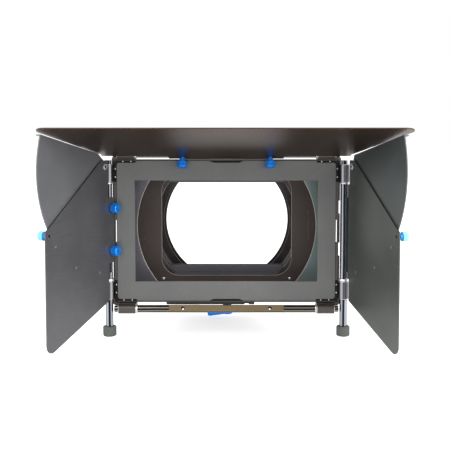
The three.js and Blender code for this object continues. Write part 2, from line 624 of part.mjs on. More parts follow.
// A wedge of the full circle, used to cut finger windows
function wedge(middle, width, radius, y0, y1) {
  const from = radians(middle - width / 2);
  const to = radians(middle + width / 2);
  const shape = new THREE.Shape();
  shape.moveTo(0, 0);
  shape.lineTo(radius * Math.cos(from), radius * Math.sin(from));
  shape.absarc(0, 0, radius, from, to, false);
  shape.closePath();
  return plate(shape, y0, y1, 4);
}

function ringHousing() {
  const flangeY = STAGE_BACK_Y + HOUSING_FLANGE;
  const body = turnedY([
    [STAGE_OPENING_RADIUS, STAGE_BACK_Y],
    [HOUSING_RADIUS, STAGE_BACK_Y],
    [HOUSING_RADIUS, HOUSING_BACK_Y],
    [HOUSING_INNER_RADIUS, HOUSING_BACK_Y],
    [HOUSING_INNER_RADIUS, flangeY],
    [STAGE_OPENING_RADIUS, flangeY],
    [STAGE_OPENING_RADIUS, STAGE_BACK_Y],
  ], FINE_SEGMENTS);
  const y0 = flangeY + HOUSING_WINDOW_EDGE;
  const y1 = HOUSING_BACK_Y - HOUSING_WINDOW_EDGE;
  const outer = HOUSING_RADIUS + CUT_OVERRUN;
  const windows = [0, 90, 180].map((middle) => wedge(middle, HOUSING_WINDOW_ANGLE, outer, y0, y1));
  return cut(body, windows);
}

// Ring that carries a round filter and turns by its notched rim
function rotatingRing() {
  const lipEnd = RING_BACK_Y - RING_BACK_LENGTH;
  const lipStart = lipEnd - RING_LIP_THICKNESS;
  const body = turnedY([
    [RING_SEAT_RADIUS, RING_FRONT_Y],
    [RING_OUTER_RADIUS, RING_FRONT_Y],
    [RING_OUTER_RADIUS, RING_BACK_Y],
    [RING_BACK_RADIUS, RING_BACK_Y],
    [RING_BACK_RADIUS, lipEnd],
    [RING_LIP_RADIUS, lipEnd],
    [RING_LIP_RADIUS, lipStart],
    [RING_SEAT_RADIUS, lipStart],
    [RING_SEAT_RADIUS, RING_FRONT_Y],
  ], FINE_SEGMENTS);
  const grips = [];
  for (let i = 0; i < RING_GRIPS; i += 1) {
    const angle = (2 * Math.PI * i) / RING_GRIPS;
    const reach = RING_OUTER_RADIUS + RING_GRIP_DEPTH;
    const x = reach * Math.cos(angle);
    const z = reach * Math.sin(angle);
    const from = RING_FRONT_Y - CUT_OVERRUN;
    const to = RING_BACK_Y + CUT_OVERRUN;
    grips.push(pinY(2 * RING_GRIP_DEPTH, x, z, from, to, TINY_SEGMENTS));
  }
  return cut(body, grips);
}

function lensPortPlate() {
  const disc = washer(LENS_OPENING_RADIUS, HOUSING_RADIUS, HOUSING_BACK_Y, LENS_PLATE_BACK_Y, FINE_SEGMENTS);
  const footTop = -LENS_SEAL_OUTER_RADIUS;
  const foot = box(
    -FOOT_WIDTH / 2,
    FOOT_WIDTH / 2,
    HOUSING_BACK_Y,
    LENS_PLATE_BACK_Y,
    footTop - FOOT_HEIGHT,
    footTop,
  );
  return disc.add(foot);
}

function lensSeal() {
  const back = LENS_PLATE_BACK_Y + LENS_SEAL_THICKNESS;
  const slope = LENS_SEAL_THICKNESS / 3;
  return turnedY([
    [LENS_SEAL_INNER_RADIUS, LENS_PLATE_BACK_Y],
    [LENS_SEAL_OUTER_RADIUS, LENS_PLATE_BACK_Y],
    [LENS_SEAL_OUTER_RADIUS, back - slope],
    [LENS_SEAL_OUTER_RADIUS - slope, back],
    [LENS_SEAL_INNER_RADIUS, back],
    [LENS_SEAL_INNER_RADIUS, LENS_PLATE_BACK_Y],
  ], FINE_SEGMENTS);
}

// Arm that carries the box on the hinge pin of the clamp
function swingArm() {
  const left = PIN_X - KNUCKLE_RADIUS;
  const sheet = box(left, ARM_RIGHT_REACH, LENS_PLATE_BACK_Y, ARM_BACK_Y, ARM_BOTTOM_Z, ARM_TOP_Z);
  const right = PIN_X + KNUCKLE_RADIUS;
  const web = box(left, right, LENS_PLATE_BACK_Y, PIN_Y, KNUCKLE_BOTTOM_Z, KNUCKLE_TOP_Z);
  const knuckle = pinZ(KNUCKLE_RADIUS, PIN_X, PIN_Y, KNUCKLE_BOTTOM_Z, KNUCKLE_TOP_Z, ROUND_SEGMENTS);
  const bore = pinZ(PIN_RADIUS + TURNING_GAP, PIN_X, PIN_Y, ARM_BOTTOM_Z, ARM_TOP_Z, ROUND_SEGMENTS);
  return joined([sheet, web, knuckle]).subtract(bore);
}

function railTunnels(radius) {
  return [-1, 1].map((side) => pinY(
    radius,
    side * RAIL_HALF_SPACING,
    -RAIL_BELOW_AXIS,
    CLAMP_FRONT_Y - CUT_OVERRUN,
    CLAMP_FRONT_Y + CLAMP_DEPTH + CUT_OVERRUN,
    ROUND_SEGMENTS,
  ));
}

// Clamp block: two rail bores, a pocket for the jaw below, two ears for the hinge pin
function railClampBody() {
  const back = CLAMP_FRONT_Y + CLAMP_DEPTH;
  const block = box(CLAMP_LEFT_X, CLAMP_HALF_W, CLAMP_FRONT_Y, back, CLAMP_BOTTOM_Z, CLAMP_TOP_Z);
  const earBack = PIN_Y + KNUCKLE_RADIUS;
  const ears = [
    [KNUCKLE_TOP_Z + SLIDING_GAP, CLAMP_TOP_Z],
    [JAW_BOTTOM_Z, KNUCKLE_BOTTOM_Z - SLIDING_GAP],
  ].map(([z0, z1]) => joined([
    pinZ(KNUCKLE_RADIUS, PIN_X, PIN_Y, z0, z1, ROUND_SEGMENTS),
    box(PIN_X, CLAMP_LEFT_X + CLAMP_GAP, CLAMP_FRONT_Y, earBack, z0, z1),
  ]));
  const heelRight = -JAW_HALF_WIDTH - SLIDING_GAP;
  const heel = box(CLAMP_LEFT_X, heelRight, CLAMP_FRONT_Y, back, JAW_BOTTOM_Z, CLAMP_BOTTOM_Z);
  const pocketTop = -RAIL_BELOW_AXIS + JAW_TRAVEL;
  const pocket = box(
    heelRight,
    JAW_HALF_WIDTH + SLIDING_GAP,
    CLAMP_FRONT_Y - CUT_OVERRUN,
    back + CUT_OVERRUN,
    JAW_BOTTOM_Z - CUT_OVERRUN,
    pocketTop,
  );
  const screwTop = pocketTop + LEVER_SCREW_RADIUS;
  const screwHole = pinZ(LEVER_SCREW_RADIUS + SLIDING_GAP, 0, CLAMP_MID_Y, pocketTop - CUT_OVERRUN, screwTop);
  const pinHole = pinZ(
    PIN_RADIUS + TURNING_GAP,
    PIN_X,
    PIN_Y,
    JAW_BOTTOM_Z - CUT_OVERRUN,
    CLAMP_TOP_Z + CUT_OVERRUN,
    ROUND_SEGMENTS,
  );
  const body = joined([block, heel, ...ears]);
  return cut(body, [...railTunnels(RAIL_BORE_RADIUS), pocket, screwHole, pinHole]);
}

// Jaw that wedges up between the two rails
function clampJaw() {
  const front = CLAMP_FRONT_Y + CLAMP_GAP;
  const back = CLAMP_FRONT_Y + CLAMP_DEPTH - CLAMP_GAP;
  const body = box(-JAW_HALF_WIDTH, JAW_HALF_WIDTH, front, back, JAW_BOTTOM_Z, -RAIL_BELOW_AXIS);
  const reliefTop = JAW_BOTTOM_Z + JAW_RELIEF_HEIGHT;
  const reliefs = [-1, 1].map((side) => box(
    side * JAW_RELIEF_CENTRE - JAW_RELIEF_WIDTH / 2,
    side * JAW_RELIEF_CENTRE + JAW_RELIEF_WIDTH / 2,
    front - CUT_OVERRUN,
    back + CUT_OVERRUN,
    JAW_BOTTOM_Z - CUT_OVERRUN,
    reliefTop,
  ));
  const hole = pinZ(
    LEVER_SCREW_RADIUS + SLIDING_GAP,
    0,
    CLAMP_MID_Y,
    JAW_BOTTOM_Z - CUT_OVERRUN,
    -RAIL_BELOW_AXIS + CUT_OVERRUN,
  );
  return cut(body, [...railTunnels(RAIL_BORE_RADIUS), ...reliefs, hole]);
}

// Blue handle under the clamp with its screw; it points to the left when locked
function clampLever() {
  const top = JAW_BOTTOM_Z - SLIDING_GAP;
  const screwTop = top + LEVER_SCREW_LENGTH;
  const half = LEVER_WIDTH / 2;
  const screwTip = Math.min(screwTop, -RAIL_BELOW_AXIS + JAW_TRAVEL);
  const handle = plate(outline([
    [0, top],
    [-LEVER_LENGTH + half, top],
    [-LEVER_LENGTH, top - half],
    [-LEVER_LENGTH, top - LEVER_DROP + half / 2],
    [-LEVER_LENGTH + half / 2, top - LEVER_DROP],
    [0, top - LEVER_ROOT_DROP],
  ]), CLAMP_MID_Y - half, CLAMP_MID_Y + half);
  return joined([
    pinZ(LEVER_HUB_RADIUS, 0, CLAMP_MID_Y, top - LEVER_HUB_HEIGHT, top, ROUND_SEGMENTS),
    pinZ(LEVER_SCREW_RADIUS, 0, CLAMP_MID_Y, top - LEVER_SCREW_RADIUS, screwTip, SMALL_SEGMENTS),
    handle,
  ]);
}

function hingePin() {
  const bottom = JAW_BOTTOM_Z - CLAMP_GAP;
  const headTop = CLAMP_TOP_Z + PIN_HEAD_HEIGHT;
  return turnedZ([
    [0, bottom],
    [PIN_RADIUS, bottom],
    [PIN_RADIUS, CLAMP_TOP_Z],
    [PIN_HEAD_RADIUS, CLAMP_TOP_Z],
    [PIN_HEAD_RADIUS, headTop],
    [0, headTop],
  ]).translate([PIN_X, PIN_Y, 0]);
}

// L bracket on one corner of the frame: back leg, outer rim, one upright and one level sleeve, screws
function cornerBracket(corner) {
  const { sx, sz } = corner;
  const at = (x0, x1, y0, y1, z0, z1) => {
    const x = span(sx, x0, x1);
    const z = span(sz, z0, z1);
    return box(x[0], x[1], y0, y1, z[0], z[1]);
  };
  const innerW = HOOD_HALF_W + SLIDING_GAP;
  const innerH = HOOD_HALF_H + SLIDING_GAP;
  const rimW = FRAME_HALF_W + SLIDING_GAP;
  const rimH = FRAME_HALF_H + SLIDING_GAP;
  const rimFront = SLIDING_GAP;
  const sideX = sx * SIDE_ROD_X;
  const topZ = sz * TOP_ROD_Z;
  const upright = span(sz, SLEEVE_SIDE_START, SLEEVE_SIDE_END);
  const level = span(sx, SLEEVE_TOP_START, SLEEVE_TOP_END);
  const alongX = (radius, from, to, segments) => {
    const geometry = new THREE.CylinderGeometry(radius, radius, to - from, segments);
    geometry.rotateZ(Math.PI / 2);
    geometry.translate((from + to) / 2, -ROD_FORWARD, topZ);
    return solid(geometry);
  };
  const body = joined([
    at(innerW, BRACKET_HALF_W, FRAME_THICKNESS, BRACKET_BACK_Y, SLEEVE_SIDE_START, BRACKET_HALF_H),
    at(SLEEVE_TOP_START, BRACKET_HALF_W, FRAME_THICKNESS, BRACKET_BACK_Y, innerH, BRACKET_HALF_H),
    at(rimW, BRACKET_HALF_W, rimFront, BRACKET_BACK_Y, SLEEVE_SIDE_START, BRACKET_HALF_H),
    at(SLEEVE_TOP_START, BRACKET_HALF_W, rimFront, BRACKET_BACK_Y, rimH, BRACKET_HALF_H),
    at(rimW, SIDE_ROD_X, -BRACKET_WEB_FRONT, FRAME_THICKNESS, SLEEVE_SIDE_START, SLEEVE_SIDE_END),
    at(SLEEVE_TOP_START, SLEEVE_TOP_END, -BRACKET_WEB_FRONT, FRAME_THICKNESS, rimH, TOP_ROD_Z),
    pinZ(SLEEVE_RADIUS, sideX, -ROD_FORWARD, upright[0], upright[1], ROUND_SEGMENTS),
    alongX(SLEEVE_RADIUS, level[0], level[1], ROUND_SEGMENTS),
  ]);
  const bores = [
    pinZ(SLEEVE_BORE_RADIUS, sideX, -ROD_FORWARD, -FRAME_HEIGHT, FRAME_HEIGHT, ROUND_SEGMENTS),
    alongX(SLEEVE_BORE_RADIUS, -FRAME_WIDTH, FRAME_WIDTH, ROUND_SEGMENTS),
  ];
  const headBack = RECESS_DEPTH - TURNING_GAP;
  const screws = bracketScrews(corner).map(([x, z]) => joined([
    pinY(BRACKET_SCREW_RADIUS, x, z, headBack - BRACKET_SCREW_HEAD_HEIGHT, BRACKET_BACK_Y, TINY_SEGMENTS),
    pinY(BRACKET_SCREW_HEAD_RADIUS, x, z, headBack - BRACKET_SCREW_HEAD_HEIGHT, headBack, TINY_SEGMENTS),
  ]));
  return joined([cut(body, bores), ...screws]);
}

// Hinge rod along Z with a milled flat on its +Y side, two cross holes, two collars and thinner ends
function hingeRod({ low, high, flat, holes, collars, lowEnd }) {
  const profile = [
    [0, low],
    [lowEnd ? ROD_END_RADIUS : ROD_RADIUS, low],
  ];
  if (lowEnd) {
    profile.push([ROD_END_RADIUS, low + ROD_END_LENGTH], [ROD_RADIUS, low + ROD_END_LENGTH]);
  }
  for (const [from, to] of collars) {
    profile.push([ROD_RADIUS, from], [COLLAR_RADIUS, from], [COLLAR_RADIUS, to], [ROD_RADIUS, to]);
  }
  profile.push(
    [ROD_RADIUS, high - ROD_END_LENGTH],
    [ROD_END_RADIUS, high - ROD_END_LENGTH],
    [ROD_END_RADIUS, high],
    [0, high],
  );
  const rest = ROD_RADIUS + CUT_OVERRUN;
  return cut(turnedZ(profile), [
    box(-rest, rest, ROD_FLAT_HEIGHT, rest, flat[0], flat[1]),
    ...holes.map((z) => pinY(ROD_TAP_RADIUS, 0, z, -rest, rest)),
  ]);
}

function levelRod() {
  const end = SLEEVE_TOP_END + ROD_END_LENGTH;
  const inner = SLEEVE_TOP_START - SLIDING_GAP;
  return hingeRod({
    low: -end,
    high: end,
    flat: [-TOP_TAB_WIDTH / 2 - SLIDING_GAP, TOP_TAB_WIDTH / 2 + SLIDING_GAP],
    holes: [-TOP_HOLE_SPACING / 2, TOP_HOLE_SPACING / 2],
    collars: [[-inner, -inner + COLLAR_THIN], [inner - COLLAR_THIN, inner]],
    lowEnd: true,
  });
}

function uprightRod() {
  const inner = SLEEVE_SIDE_START - SLIDING_GAP;
  return hingeRod({
    low: -SLEEVE_SIDE_END - SIDE_ROD_TAIL,
    high: SLEEVE_SIDE_END + ROD_END_LENGTH,
    flat: [-WING_TAB_BOTTOM - SLIDING_GAP, WING_TAB_TOP + SLIDING_GAP],
    holes: [-WING_HOLE_LOW, WING_HOLE_HIGH],
    collars: [[-inner, -inner + COLLAR_THICK], [inner - COLLAR_THIN, inner]],
    lowEnd: false,
  });
}

// Rubber cap on the lower end of an upright rod
function rodFoot() {
  const bottom = -SLEEVE_SIDE_END - SIDE_ROD_TAIL - (FOOT_CAP_HEIGHT - FOOT_CAP_GRIP);
  const top = bottom + FOOT_CAP_HEIGHT;
  const bore = ROD_RADIUS + TURNING_GAP;
  const seat = -SLEEVE_SIDE_END - SIDE_ROD_TAIL - SLIDING_GAP;
  return turnedZ([
    [0, bottom],
    [FOOT_CAP_RADIUS - FOOT_CAP_CHAMFER, bottom],
    [FOOT_CAP_RADIUS, bottom + FOOT_CAP_CHAMFER],
    [FOOT_CAP_RADIUS, top - FOOT_CAP_CHAMFER],
    [FOOT_CAP_RADIUS - FOOT_CAP_CHAMFER, top],
    [bore, top],
    [bore, seat],
    [0, seat],
  ]);
}

// Top flag: tab under the rod's flat, straight rear part, flared sides, rounded front corners
function topFlag() {
  const tab = TOP_TAB_WIDTH / 2;
  const rear = TOP_FLAG_REAR_HALF_W;
  const flare = new THREE.Vector2(TOP_FLAG_DEPTH - TOP_FLAG_STRAIGHT, TOP_FLAG_FLARE).normalize();
  const radius = TOP_FLAG_CORNER_RADIUS;
  // centre of the corner arc: one radius inside the front edge and the flared side
  const centreU = TOP_FLAG_DEPTH - radius;
  const sideAt = (u) => rear + (u - TOP_FLAG_STRAIGHT) * (flare.y / flare.x);
  const centreA = sideAt(centreU) - radius / flare.x;
  const tilt = Math.atan2(flare.y, flare.x);
  const shape = new THREE.Shape();
  shape.moveTo(-TAB_BACK_EDGE, -tab);
  shape.lineTo(SHEET_REAR_EDGE, -tab);
  shape.lineTo(SHEET_REAR_EDGE, -rear);
  shape.lineTo(TOP_FLAG_STRAIGHT, -rear);
  shape.absarc(centreU, -centreA, radius, -Math.PI / 2 - tilt, 0, false);
  shape.absarc(centreU, centreA, radius, 0, Math.PI / 2 + tilt, false);
  shape.lineTo(TOP_FLAG_STRAIGHT, rear);
  shape.lineTo(SHEET_REAR_EDGE, rear);
  shape.lineTo(SHEET_REAR_EDGE, tab);
  shape.lineTo(-TAB_BACK_EDGE, tab);
  shape.closePath();
  const holes = [-1, 1].map((side) => pinY(
    SCREW_RADIUS + SLIDING_GAP,
    0,
    side * TOP_HOLE_SPACING / 2,
    0,
    SHEET_FACE + CUT_OVERRUN,
  ));
  return cut(plate(shape, ROD_FLAT_HEIGHT, SHEET_FACE, 8), holes);
}

// Place on a side flag at an angle below the horizontal, on an arc about the fan pivot
function onArc(radius, angleBelow) {
  const angle = radians(-angleBelow);
  return [FAN_PIVOT_OUT + radius * Math.cos(angle), FAN_PIVOT_UP + radius * Math.sin(angle)];
}

// Side flag: sheet with a cut-off top corner, rounded lower corner and a tab over the rod's flat
function wingPanel() {
  const shape = new THREE.Shape();
  const slope = Math.atan2(WING_OUTER_BOTTOM - WING_REAR_BOTTOM, WING_LENGTH - SHEET_REAR_EDGE);
  const centreU = WING_LENGTH - WING_CORNER_RADIUS;
  const lineAt = (u) => -WING_REAR_BOTTOM - (u - SHEET_REAR_EDGE) * Math.tan(slope);
  const centreZ = lineAt(centreU) + WING_CORNER_RADIUS / Math.cos(slope);
  shape.moveTo(SHEET_REAR_EDGE, -WING_TAB_BOTTOM);
  shape.lineTo(SHEET_REAR_EDGE, -WING_REAR_BOTTOM);
  shape.absarc(centreU, centreZ, WING_CORNER_RADIUS, -Math.PI / 2 - slope, 0, false);
  shape.lineTo(WING_LENGTH, WING_OUTER_TOP);
  shape.lineTo(WING_TOP_FLAT_END, WING_TOP);
  shape.lineTo(SHEET_REAR_EDGE, WING_TOP);
  shape.lineTo(SHEET_REAR_EDGE, WING_TAB_TOP);
  shape.lineTo(-TAB_BACK_EDGE, WING_TAB_TOP);
  shape.lineTo(-TAB_BACK_EDGE, -WING_TAB_BOTTOM);
  shape.closePath();
  const y0 = 0;
  const y1 = SHEET_FACE + CUT_OVERRUN;
  const tools = [
    pinY(SCREW_RADIUS + SLIDING_GAP, 0, WING_HOLE_HIGH, y0, y1),
    pinY(SCREW_RADIUS + SLIDING_GAP, 0, -WING_HOLE_LOW, y0, y1),
    pinY(EYELET_RADIUS + SLIDING_GAP, FAN_PIVOT_OUT, FAN_PIVOT_UP, y0, y1),
    pinY(LOCK_SCREW_RADIUS + SLIDING_GAP, ...onArc(LOCK_ARC_RADIUS, LOCK_ANGLE), y0, y1),
    ...STUD_ANGLES.map((angle) => pinY(STUD_RADIUS + SLIDING_GAP, ...onArc(STUD_ARC_RADIUS, angle), y0, y1)),
  ];
  return cut(plate(shape, ROD_FLAT_HEIGHT, SHEET_FACE, 8), tools);
}

// Where the fan's sheet lies beside the panel; outward is -1 or 1 along Y
function fanFaces(outward) {
  if (outward > 0) {
    const inner = SHEET_FACE + FAN_GAP;
    return [inner, inner + SHEET_THICKNESS];
  }
  const inner = ROD_FLAT_HEIGHT - FAN_GAP;
  return [inner - SHEET_THICKNESS, inner];
}

// Fan flap: sector about the pivot with a straight top edge that carries a narrow folded lip
function fanFlap(outward) {
  const top = radians(FAN_TOP_ANGLE);
  const topEnd = top + Math.asin(FAN_TOP_RISE / FAN_RADIUS);
  const bottom = radians(-FAN_BOTTOM_ANGLE);
  const edge = (along, up = FAN_TOP_RISE) => [
    FAN_PIVOT_OUT + along * Math.cos(top) - up * Math.sin(top),
    FAN_PIVOT_UP + along * Math.sin(top) + up * Math.cos(top),
  ];
  const topLength = Math.sqrt(FAN_RADIUS ** 2 - FAN_TOP_RISE ** 2);
  const shape = new THREE.Shape();
  shape.moveTo(...edge(0));
  shape.lineTo(...edge(0, FAN_HUB_RADIUS));
  shape.absarc(FAN_PIVOT_OUT, FAN_PIVOT_UP, FAN_HUB_RADIUS, Math.PI / 2 + top, Math.PI * 1.5 + bottom, false);
  shape.absarc(FAN_PIVOT_OUT, FAN_PIVOT_UP, FAN_RADIUS, bottom, topEnd, false);
  shape.closePath();
  const [y0, y1] = fanFaces(outward);
  const sheet = plate(shape, y0, y1, 12);
  const lipOut = outward > 0 ? [y0, y0 + FAN_LIP_WIDTH] : [y1 - FAN_LIP_WIDTH, y1];
  const lip = plate(outline([
    edge(FAN_LIP_START),
    edge(FAN_LIP_START, FAN_TOP_RISE - FAN_LIP_THICKNESS),
    edge(topLength, FAN_TOP_RISE - FAN_LIP_THICKNESS),
    edge(topLength),
  ]), lipOut[0], lipOut[1]);
  const hole = pinY(EYELET_RADIUS + SLIDING_GAP, FAN_PIVOT_OUT, FAN_PIVOT_UP, -FRAME_WIDTH, FRAME_WIDTH);
  return joined([sheet, lip]).subtract(hole);
}

// Fixings through the panel are built along +Y from the panel's inner face and flipped where the
// outer side lies towards -Y. The panel's inner face is at 0, its outer face at SHEET_THICKNESS.
const FAN_OUTER = 2 * SHEET_THICKNESS + FAN_GAP;

function facing(body, outward) {
  if (outward > 0) {
    return body.translate([0, ROD_FLAT_HEIGHT, 0]);
  }
  return body.rotate([180, 0, 0]).translate([0, SHEET_FACE, 0]);
}

// Hollow rivet that the fan turns on
function fanEyelet(outward) {
  const back = FAN_OUTER + TURNING_GAP;
  return facing(turnedY([
    [EYELET_BORE_RADIUS, -EYELET_RIM_HEIGHT - TURNING_GAP],
    [EYELET_RIM_RADIUS, -EYELET_RIM_HEIGHT - TURNING_GAP],
    [EYELET_RIM_RADIUS, -TURNING_GAP],
    [EYELET_RADIUS, -TURNING_GAP],
    [EYELET_RADIUS, back],
    [EYELET_RIM_RADIUS, back],
    [EYELET_RIM_RADIUS, back + EYELET_RIM_HEIGHT],
    [EYELET_BORE_RADIUS, back + EYELET_RIM_HEIGHT],
    [EYELET_BORE_RADIUS, -EYELET_RIM_HEIGHT - TURNING_GAP],
  ], SMALL_SEGMENTS), outward);
}

// Stud whose wide outer head holds the rim of the fan against the panel
function guideStud(outward) {
  const back = FAN_OUTER + SLIDING_GAP;
  return facing(turnedY([
    [0, -STUD_FACE_HEIGHT - TURNING_GAP],
    [STUD_FACE_RADIUS, -STUD_FACE_HEIGHT - TURNING_GAP],
    [STUD_FACE_RADIUS, -TURNING_GAP],
    [STUD_RADIUS, -TURNING_GAP],
    [STUD_RADIUS, back],
    [STUD_HEAD_RADIUS, back],
    [STUD_HEAD_RADIUS, back + STUD_HEAD_HEIGHT],
    [0, back + STUD_HEAD_HEIGHT],
  ], TINY_SEGMENTS), outward);
}

// Knob whose washer clamps the fan's rim
function fanLockKnob(outward) {
  const back = FAN_OUTER + SLIDING_GAP;
  const neck = back + LOCK_WASHER_HEIGHT;
  const end = neck + LOCK_KNOB_LENGTH;
  return facing(turnedY([
    [0, TURNING_GAP],
    [LOCK_SCREW_RADIUS, TURNING_GAP],
    [LOCK_SCREW_RADIUS, back],
    [LOCK_KNOB_RADIUS, back],
    [LOCK_KNOB_RADIUS, back + LOCK_WASHER_HEIGHT / 2],
    [SCREW_NECK_RADIUS, back + LOCK_WASHER_HEIGHT / 2],
    [SCREW_NECK_RADIUS, neck],
    [LOCK_KNOB_RADIUS, neck],
    [LOCK_KNOB_RADIUS, end - SCREW_HEAD_CHAMFER],
    [LOCK_KNOB_RADIUS - SCREW_HEAD_CHAMFER, end],
    [0, end],
  ], ROUND_SEGMENTS), outward);
}

// Thumbscrew that clamps a flag's tab to its rod: built along +Y from the rod's axis
function thumbscrew(neckLength) {
  const seat = SHEET_FACE + SLIDING_GAP;
  const head = seat + neckLength;
  const end = head + SCREW_HEAD_LENGTH;
  return turnedY([
    [0, -SCREW_TAIL],
    [SCREW_RADIUS, -SCREW_TAIL],
    [SCREW_RADIUS, seat],
    [SCREW_NECK_RADIUS, seat],
    [SCREW_NECK_RADIUS, head],
    [SCREW_HEAD_RADIUS, head],
    [SCREW_HEAD_RADIUS, end - SCREW_HEAD_CHAMFER],
    [SCREW_HEAD_RADIUS - SCREW_HEAD_CHAMFER, end],
    [0, end],
  ], ROUND_SEGMENTS);
}

function piece(name, body, finish) {
  const mesh = new THREE.Mesh(toGeometry(body), new THREE.MeshStandardMaterial(FINISHES[finish]));
  mesh.name = name;
  return mesh;
}

// A turned group: local X leads away from the hinge, local Y is the side of the flat, local Z is the rod
function hingeGroup(position, out, normal) {
  const along = new THREE.Vector3().crossVectors(out, normal);
  const group = new THREE.Group();
  group.position.copy(position);
  group.setRotationFromMatrix(new THREE.Matrix4().makeBasis(out, normal, along));
  return group;
}

function topFlagGroup() {
  const tilt = radians(TOP_FLAG_TILT);
  const out = new THREE.Vector3(0, -Math.cos(tilt), Math.sin(tilt));
  const down = new THREE.Vector3(0, -Math.sin(tilt), -Math.cos(tilt));
  const group = hingeGroup(new THREE.Vector3(0, -ROD_FORWARD, TOP_ROD_Z), out, down);
  group.add(piece('top_rod', levelRod(), 'rod'));
  group.add(piece('top_flag', topFlag(), 'flag'));
  for (const [name, side] of [['left', -1], ['right', 1]]) {
    const screw = piece(`top_thumbscrew_${name}`, thumbscrew(TOP_SCREW_NECK), 'blue');
    screw.position.z = side * TOP_HOLE_SPACING / 2;
    group.add(screw);
  }
  return group;
}

function bottomRodGroup() {
  const tilt = radians(BOTTOM_ROD_TILT);
  const out = new THREE.Vector3(0, Math.sin(tilt), Math.cos(tilt));
  const forward = new THREE.Vector3(0, -Math.cos(tilt), Math.sin(tilt));
  const group = hingeGroup(new THREE.Vector3(0, -ROD_FORWARD, -TOP_ROD_Z), out, forward);
  group.add(piece('bottom_rod', levelRod(), 'rod'));
  return group;
}

// One side flag with all that turns on its upright rod; the left one swings towards -X
function wingGroup(side, angleDegrees, sign) {
  const angle = radians(angleDegrees);
  const out = new THREE.Vector3(sign * Math.cos(angle), -Math.sin(angle), 0);
  const normal = new THREE.Vector3(Math.sin(angle), sign * Math.cos(angle), 0);
  const group = hingeGroup(new THREE.Vector3(sign * SIDE_ROD_X, -ROD_FORWARD, 0), out, normal);
  group.add(piece(`${side}_rod`, uprightRod(), 'rod'));
  group.add(piece(`${side}_rod_foot`, rodFoot(), 'rubber'));
  group.add(piece(`${side}_wing_panel`, wingPanel(), 'wing'));
  for (const [level, z] of [['upper', WING_HOLE_HIGH], ['lower', -WING_HOLE_LOW]]) {
    const screw = piece(`${side}_${level}_thumbscrew`, thumbscrew(SIDE_SCREW_NECK), 'blue');
    screw.position.z = z;
    group.add(screw);
  }
  group.add(piece(`${side}_fan_flap`, fanFlap(sign), 'wing'));
  const fixing = (name, body, finish, [u, z]) => {
    const mesh = piece(name, body, finish);
    mesh.position.set(u, 0, z);
    group.add(mesh);
  };
  fixing(`${side}_fan_eyelet`, fanEyelet(sign), 'steel', [FAN_PIVOT_OUT, FAN_PIVOT_UP]);
  fixing(`${side}_fan_lock_knob`, fanLockKnob(sign), 'blue', onArc(LOCK_ARC_RADIUS, LOCK_ANGLE));
  STUD_ANGLES.forEach((stud, i) => {
    fixing(`${side}_guide_stud_${i + 1}`, guideStud(sign), 'steel', onArc(STUD_ARC_RADIUS, stud));
  });
  return group;
}

function housingGroup() {
  const group = new THREE.Group();
  group.add(piece('front_frame', frontFrame(), 'frame'));
  group.add(piece('mask_plate', maskPlate(), 'mask'));
  group.add(piece('hood_shell', hoodShell(), 'hood'));
  group.add(piece('round_baffle_left', roundBaffle(-1), 'inner'));
  group.add(piece('round_baffle_right', roundBaffle(1), 'inner'));
  group.add(piece('inner_wall_plate', innerWallPlate(), 'inner'));
  for (const corner of EACH_CORNER) {
    group.add(piece(`corner_bracket_${corner.name}`, cornerBracket(corner), 'bracket'));
  }
  for (const { name, x, z } of stageScrewPlaces()) {
    const screw = piece(`stage_screw_${name}`, stageScrew(), 'steel');
    screw.position.set(x, 0, z);
    group.add(screw);
  }
  group.add(piece('stage_frame', stageFrame(), 'black'));
  group.add(piece('front_tray', filterTray(FRONT_SLOT_Y), 'frame'));
  group.add(piece('rear_tray', filterTray(REAR_SLOT_Y), 'frame'));
  group.add(piece('ring_housing', ringHousing(), 'black'));
  group.add(piece('rotating_ring', rotatingRing(), 'inner'));
  group.add(piece('lens_port_plate', lensPortPlate(), 'black'));
  group.add(piece('lens_seal', lensSeal(), 'rubber'));
  group.add(piece('swing_arm', swingArm(), 'black'));
  return group;
}

function clampGroup() {
  const group = new THREE.Group();
  group.add(piece('rail_clamp_body', railClampBody(), 'black'));
  group.add(piece('clamp_jaw', clampJaw(), 'frame'));
  group.add(piece('hinge_pin', hingePin(), 'steel'));
  group.add(piece('clamp_lever', clampLever(), 'blue'));
  return group;
}

const matteBox = new THREE.Group();
matteBox.add(housingGroup());
matteBox.add(topFlagGroup());
matteBox.add(bottomRodGroup());
matteBox.add(wingGroup('left', LEFT_WING_ANGLE, -1));
matteBox.add(wingGroup('right', RIGHT_WING_ANGLE, 1));
matteBox.add(clampGroup());
matteBox.position.set(0, -CLAMP_MID_Y, RAIL_BELOW_AXIS);

export default matteBox;
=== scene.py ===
"""Looks of a rail-mounted matte box with a top flag, two side flags with fan flaps and a filter stage.

Meshes are drawn in millimetres and set down in metres. In the box's own axes X is right, Y leads back to the
lens and Z is up, and the origin is on the optical axis in the mask's front face. A hinged group has axes of
its own: X leads away from the hinge, Y is the side of the rod's flat and Z runs along the rod.
"""

from __future__ import annotations

import logging
import math
from dataclasses import dataclass
from enum import Enum
from functools import cached_property
from typing import Any, Callable, Sequence

import bmesh
import bpy
from mathutils import Matrix, Vector

